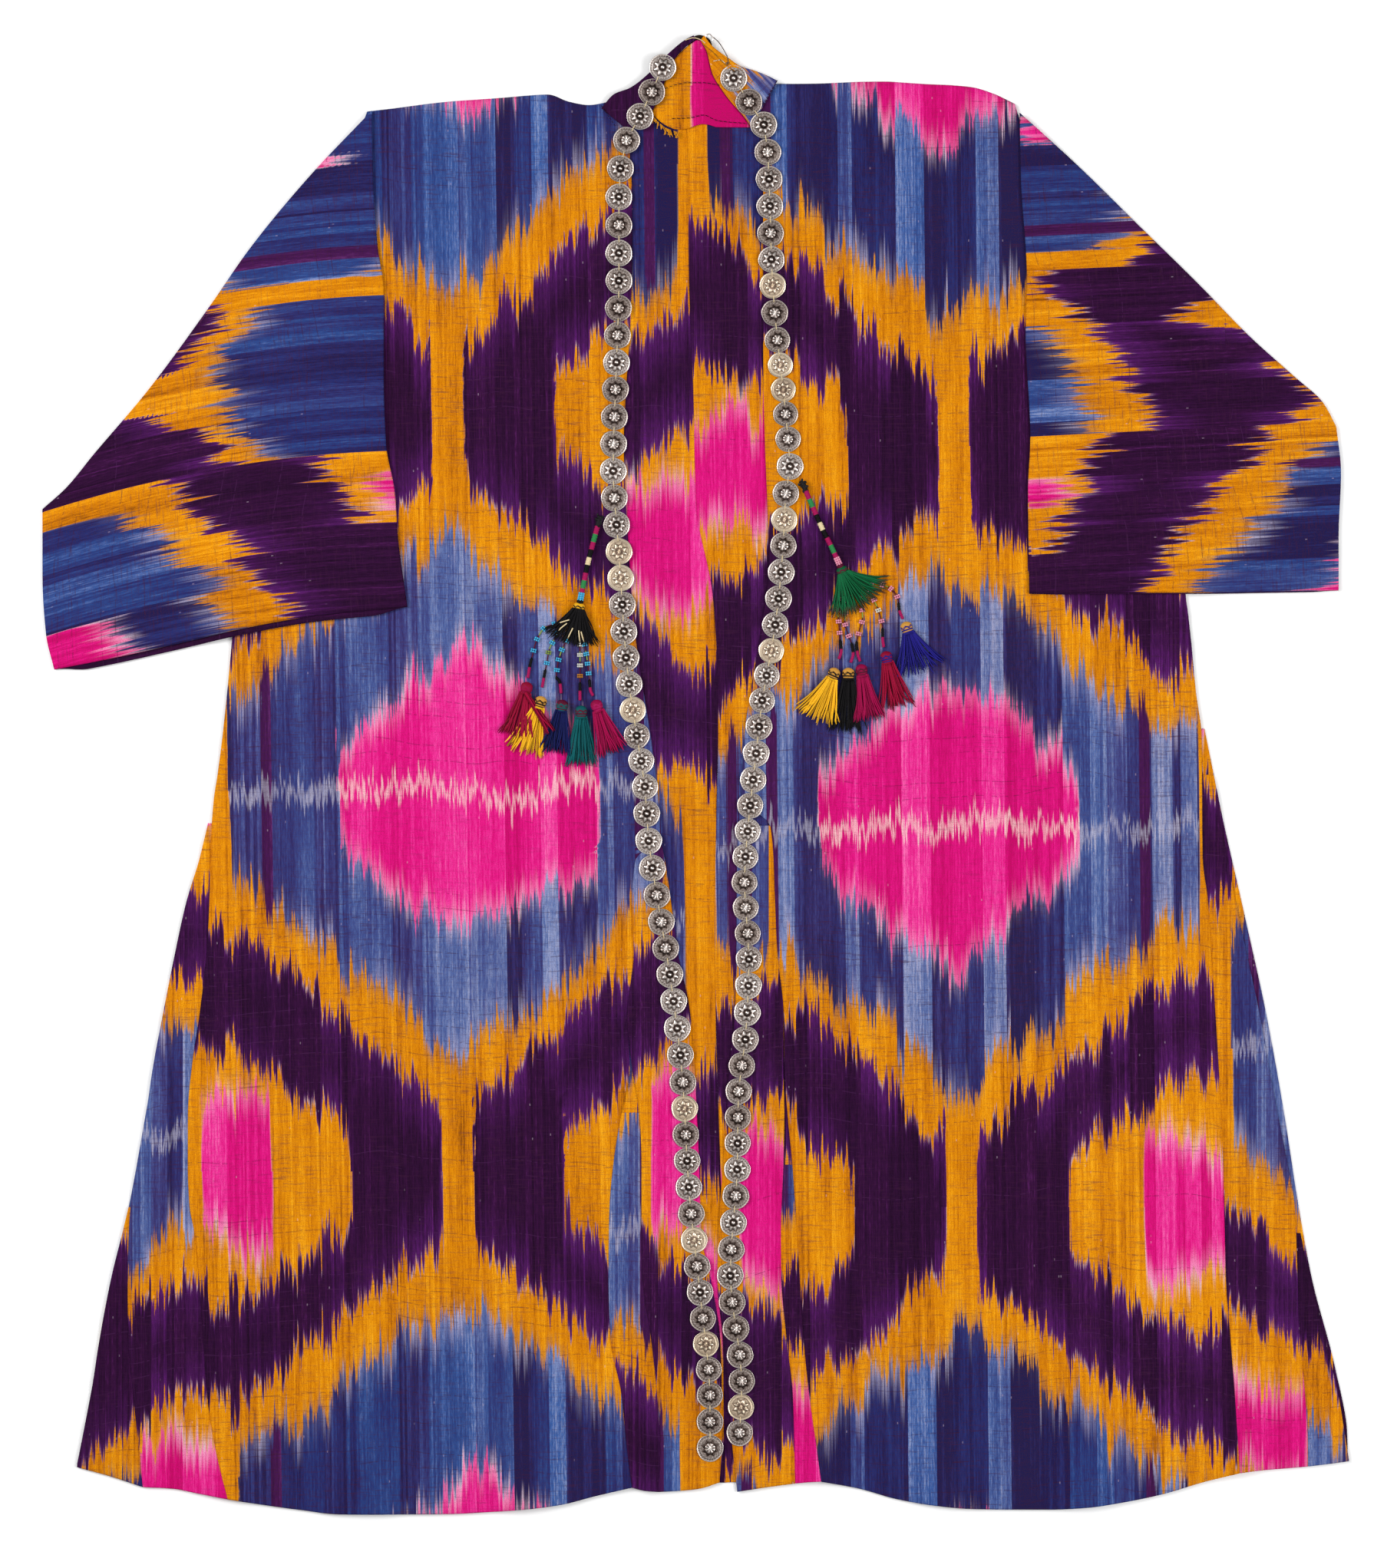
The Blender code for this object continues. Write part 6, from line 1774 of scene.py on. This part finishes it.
@dataclass
class Ornament:
    """The wrapped stem, its knot, its beads and its skirt."""
    look: OrnamentLook
    materials: tuple           # thread, glass
    seed: int = 0

    def add_stem(self, parts: MeshParts) -> None:
        """The stem, wrapped in bands, with its turns as ripples, and the tufts at its top."""
        stations = 150
        t = np.linspace(0, 1, stations)
        spine = along(self.look.route, t) - OUTLINE_CENTRE
        radius = 2.15 + 0.13 * np.sin(t * stations * 1.35)
        share = np.clip((t - 0.12) / 0.88, 0, 0.999)
        band = (share * len(STEM_BANDS)).astype(int)
        dyed = np.where((t < 0.12)[:, None], np.array(CHARCOAL), np.array(STEM_BANDS)[band])
        parts.add_tubes(lifted(spine, LOW_LEVEL + 2.4)[None], radius[None], 12,
                        dyed=np.repeat(dyed, 12, axis=0))
        rng = np.random.default_rng(400 + self.seed)
        tufts = spine[rng.integers(0, 16, TUFTS)] + rng.normal(0, 1.5, (TUFTS, 2))
        centres = lifted(tufts, rng.uniform(LOW_LEVEL + 1.5, LOW_LEVEL + 4.2, TUFTS))
        sizes = rng.uniform(0.8, 1.7, (TUFTS, 3))
        shades = rng.uniform(0.5, 2.6, TUFTS)
        parts.add_blobs(centres, sizes, dyed=coloured(CHARCOAL, shades, BLOB_RINGS * BLOB_SIDES))

    def build(self) -> bpy.types.Object:
        """The stem, and below its foot the beads, the neck, the knot and the skirt."""
        look = self.look
        parts = MeshParts()
        self.add_stem(parts)
        before, last = np.array(look.route[-2:], float)
        heading = math.atan2(*(last - before)[::-1])
        forward = heading_of(heading)
        foot = last - OUTLINE_CENTRE
        spots = np.array([foot - forward * 1.4, foot + forward * 2.2])
        add_beads(parts, spots, np.stack([forward] * 2), look.beads, LOW_LEVEL + 4.2, 1.15)
        neck = foot + forward * np.linspace(3.0, 7.0, 8)[:, None]
        parts.add_tubes(lifted(neck, LOW_LEVEL + 2.6)[None], 2.9, 14, dyed=look.figure)
        BoundHead(foot + forward * 5.4, forward, 9.0, 5.0, 0.62, LOW_LEVEL + 3.2,
                  look.collar, look.figure, look.skirt).add(parts)
        StrandFan(foot + forward * 11.0, heading, 5.0, look.fan, look.length, SKIRT_STRANDS,
                  LOW_LEVEL + 1.9, 50 + self.seed).add(parts, look.skirt, 0.85, look.tips)
        thing = parts.build("floss_" + look.name, self.materials)
        declare_solid(thing, look.name)
        LOG.info("%s: %d points", look.name, parts.count)
        return thing


# ---------------------------------------------------------------- studio
TABLE_HALF = 3.0               # metres
TABLE_DROP = -0.0004           # the table lies this far below the robe's lowest point
CAMERA_HEIGHT = 4.0
VIEW_WIDTH = 1.183             # metres of the table across the picture
SENSOR = 36.0
LAMP_AIM = np.zeros(3)


@dataclass(frozen=True)
class Softbox:
    """A square light aimed at the robe: its place, its side in metres and its watts."""
    name: str
    place: tuple
    side: float
    power: float

    def build(self) -> None:
        """Adds the lamp."""
        data = bpy.data.lights.new(self.name, "AREA")
        data.shape = "SQUARE"
        data.size, data.energy = self.side, self.power
        lamp = placed(self.name, data)
        lamp.location = self.place
        gaze = LAMP_AIM - np.array(self.place, float)
        lamp.rotation_euler = (math.acos(-gaze[2] / np.linalg.norm(gaze)), 0.0,
                               math.atan2(gaze[1], gaze[0]) - math.pi / 2)


SOFTBOXES = (
    Softbox("softbox_left", (-2.3, 1.0, 2.1), 1.7, 78.0),
    Softbox("softbox_right", (2.3, -0.4, 2.3), 1.7, 61.0),
    Softbox("ceiling_fill", (0.0, 0.0, 3.6), 2.6, 14.0),
)


@dataclass
class Studio:
    """Pale table, soft overhead light and the camera straight above."""

    def lay_table(self) -> None:
        """A square of white paper under the robe."""
        corners = [(x * TABLE_HALF, y * TABLE_HALF, TABLE_DROP)
                   for x, y in ((-1, -1), (1, -1), (1, 1), (-1, 1))]
        mesh = bpy.data.meshes.new("table_top")
        mesh.from_pydata(corners, [], [(0, 1, 2, 3)])
        mesh.materials.append(table_paper())
        placed("table_top", mesh)

    def light(self) -> None:
        """The lamps, and a white world that fills the shadows."""
        for softbox in SOFTBOXES:
            softbox.build()
        world = bpy.data.worlds.new("studio_white")
        world.use_nodes = True
        background = world.node_tree.nodes["Background"]
        background.inputs[0].default_value = (1.0, 1.0, 1.0, 1.0)
        background.inputs[1].default_value = 0.3
        bpy.context.scene.world = world
        bpy.context.scene.view_settings.view_transform = "Standard"

    def place_camera(self) -> None:
        """A long lens straight above, as wide as the picture."""
        data = bpy.data.cameras.new("overhead")
        data.sensor_fit, data.sensor_width = "HORIZONTAL", SENSOR
        data.lens = SENSOR * CAMERA_HEIGHT / VIEW_WIDTH
        data.clip_end = 20.0
        camera = placed("overhead", data)
        camera.location = (0.00235, -0.00805, CAMERA_HEIGHT)
        bpy.context.scene.camera = camera

    def build(self) -> None:
        """Table, light and camera."""
        self.lay_table()
        self.light()
        self.place_camera()


def main() -> None:
    """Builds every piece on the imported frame, then the studio, and notes both sizes."""
    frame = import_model()
    nodes = frame["nodes"]
    cloth, silver = ikat_cloth(), oxidised_silver()
    threads = (dyed_thread(), glass_beads())
    sewing = CollarSewing(threads[0]).build()
    for name in LOOM_PLACES:
        if name in COLLAR_CURVES:
            CollarPiece(name, cloth).build((sewing,) if name == "neck_facing" else ())
        else:
            folded = name in ("front_left", "front_right")
            ClothPanel(name, cloth, folded).build(nodes[name])
    Sleeve("sleeve_left", -1.0, cloth, 5.0).build(nodes["sleeve_left"], nodes["front_left"])
    Sleeve("sleeve_right", 1.0, cloth).build(nodes["sleeve_right"], nodes["front_right"])
    for name in ("disc_chain_left", "disc_chain_right", "disc_peak"):
        DiscChain(name, (silver, threads[0])).build(nodes[name])
    for k, look in enumerate(TASSELS):
        Tassel(look, threads, k).build()
    for k, look in enumerate(ORNAMENTS):
        Ornament(look, threads, k).build()
    Studio().build()


if __name__ == "__main__":
    logging.basicConfig(level=logging.INFO, format="%(message)s")
    main()
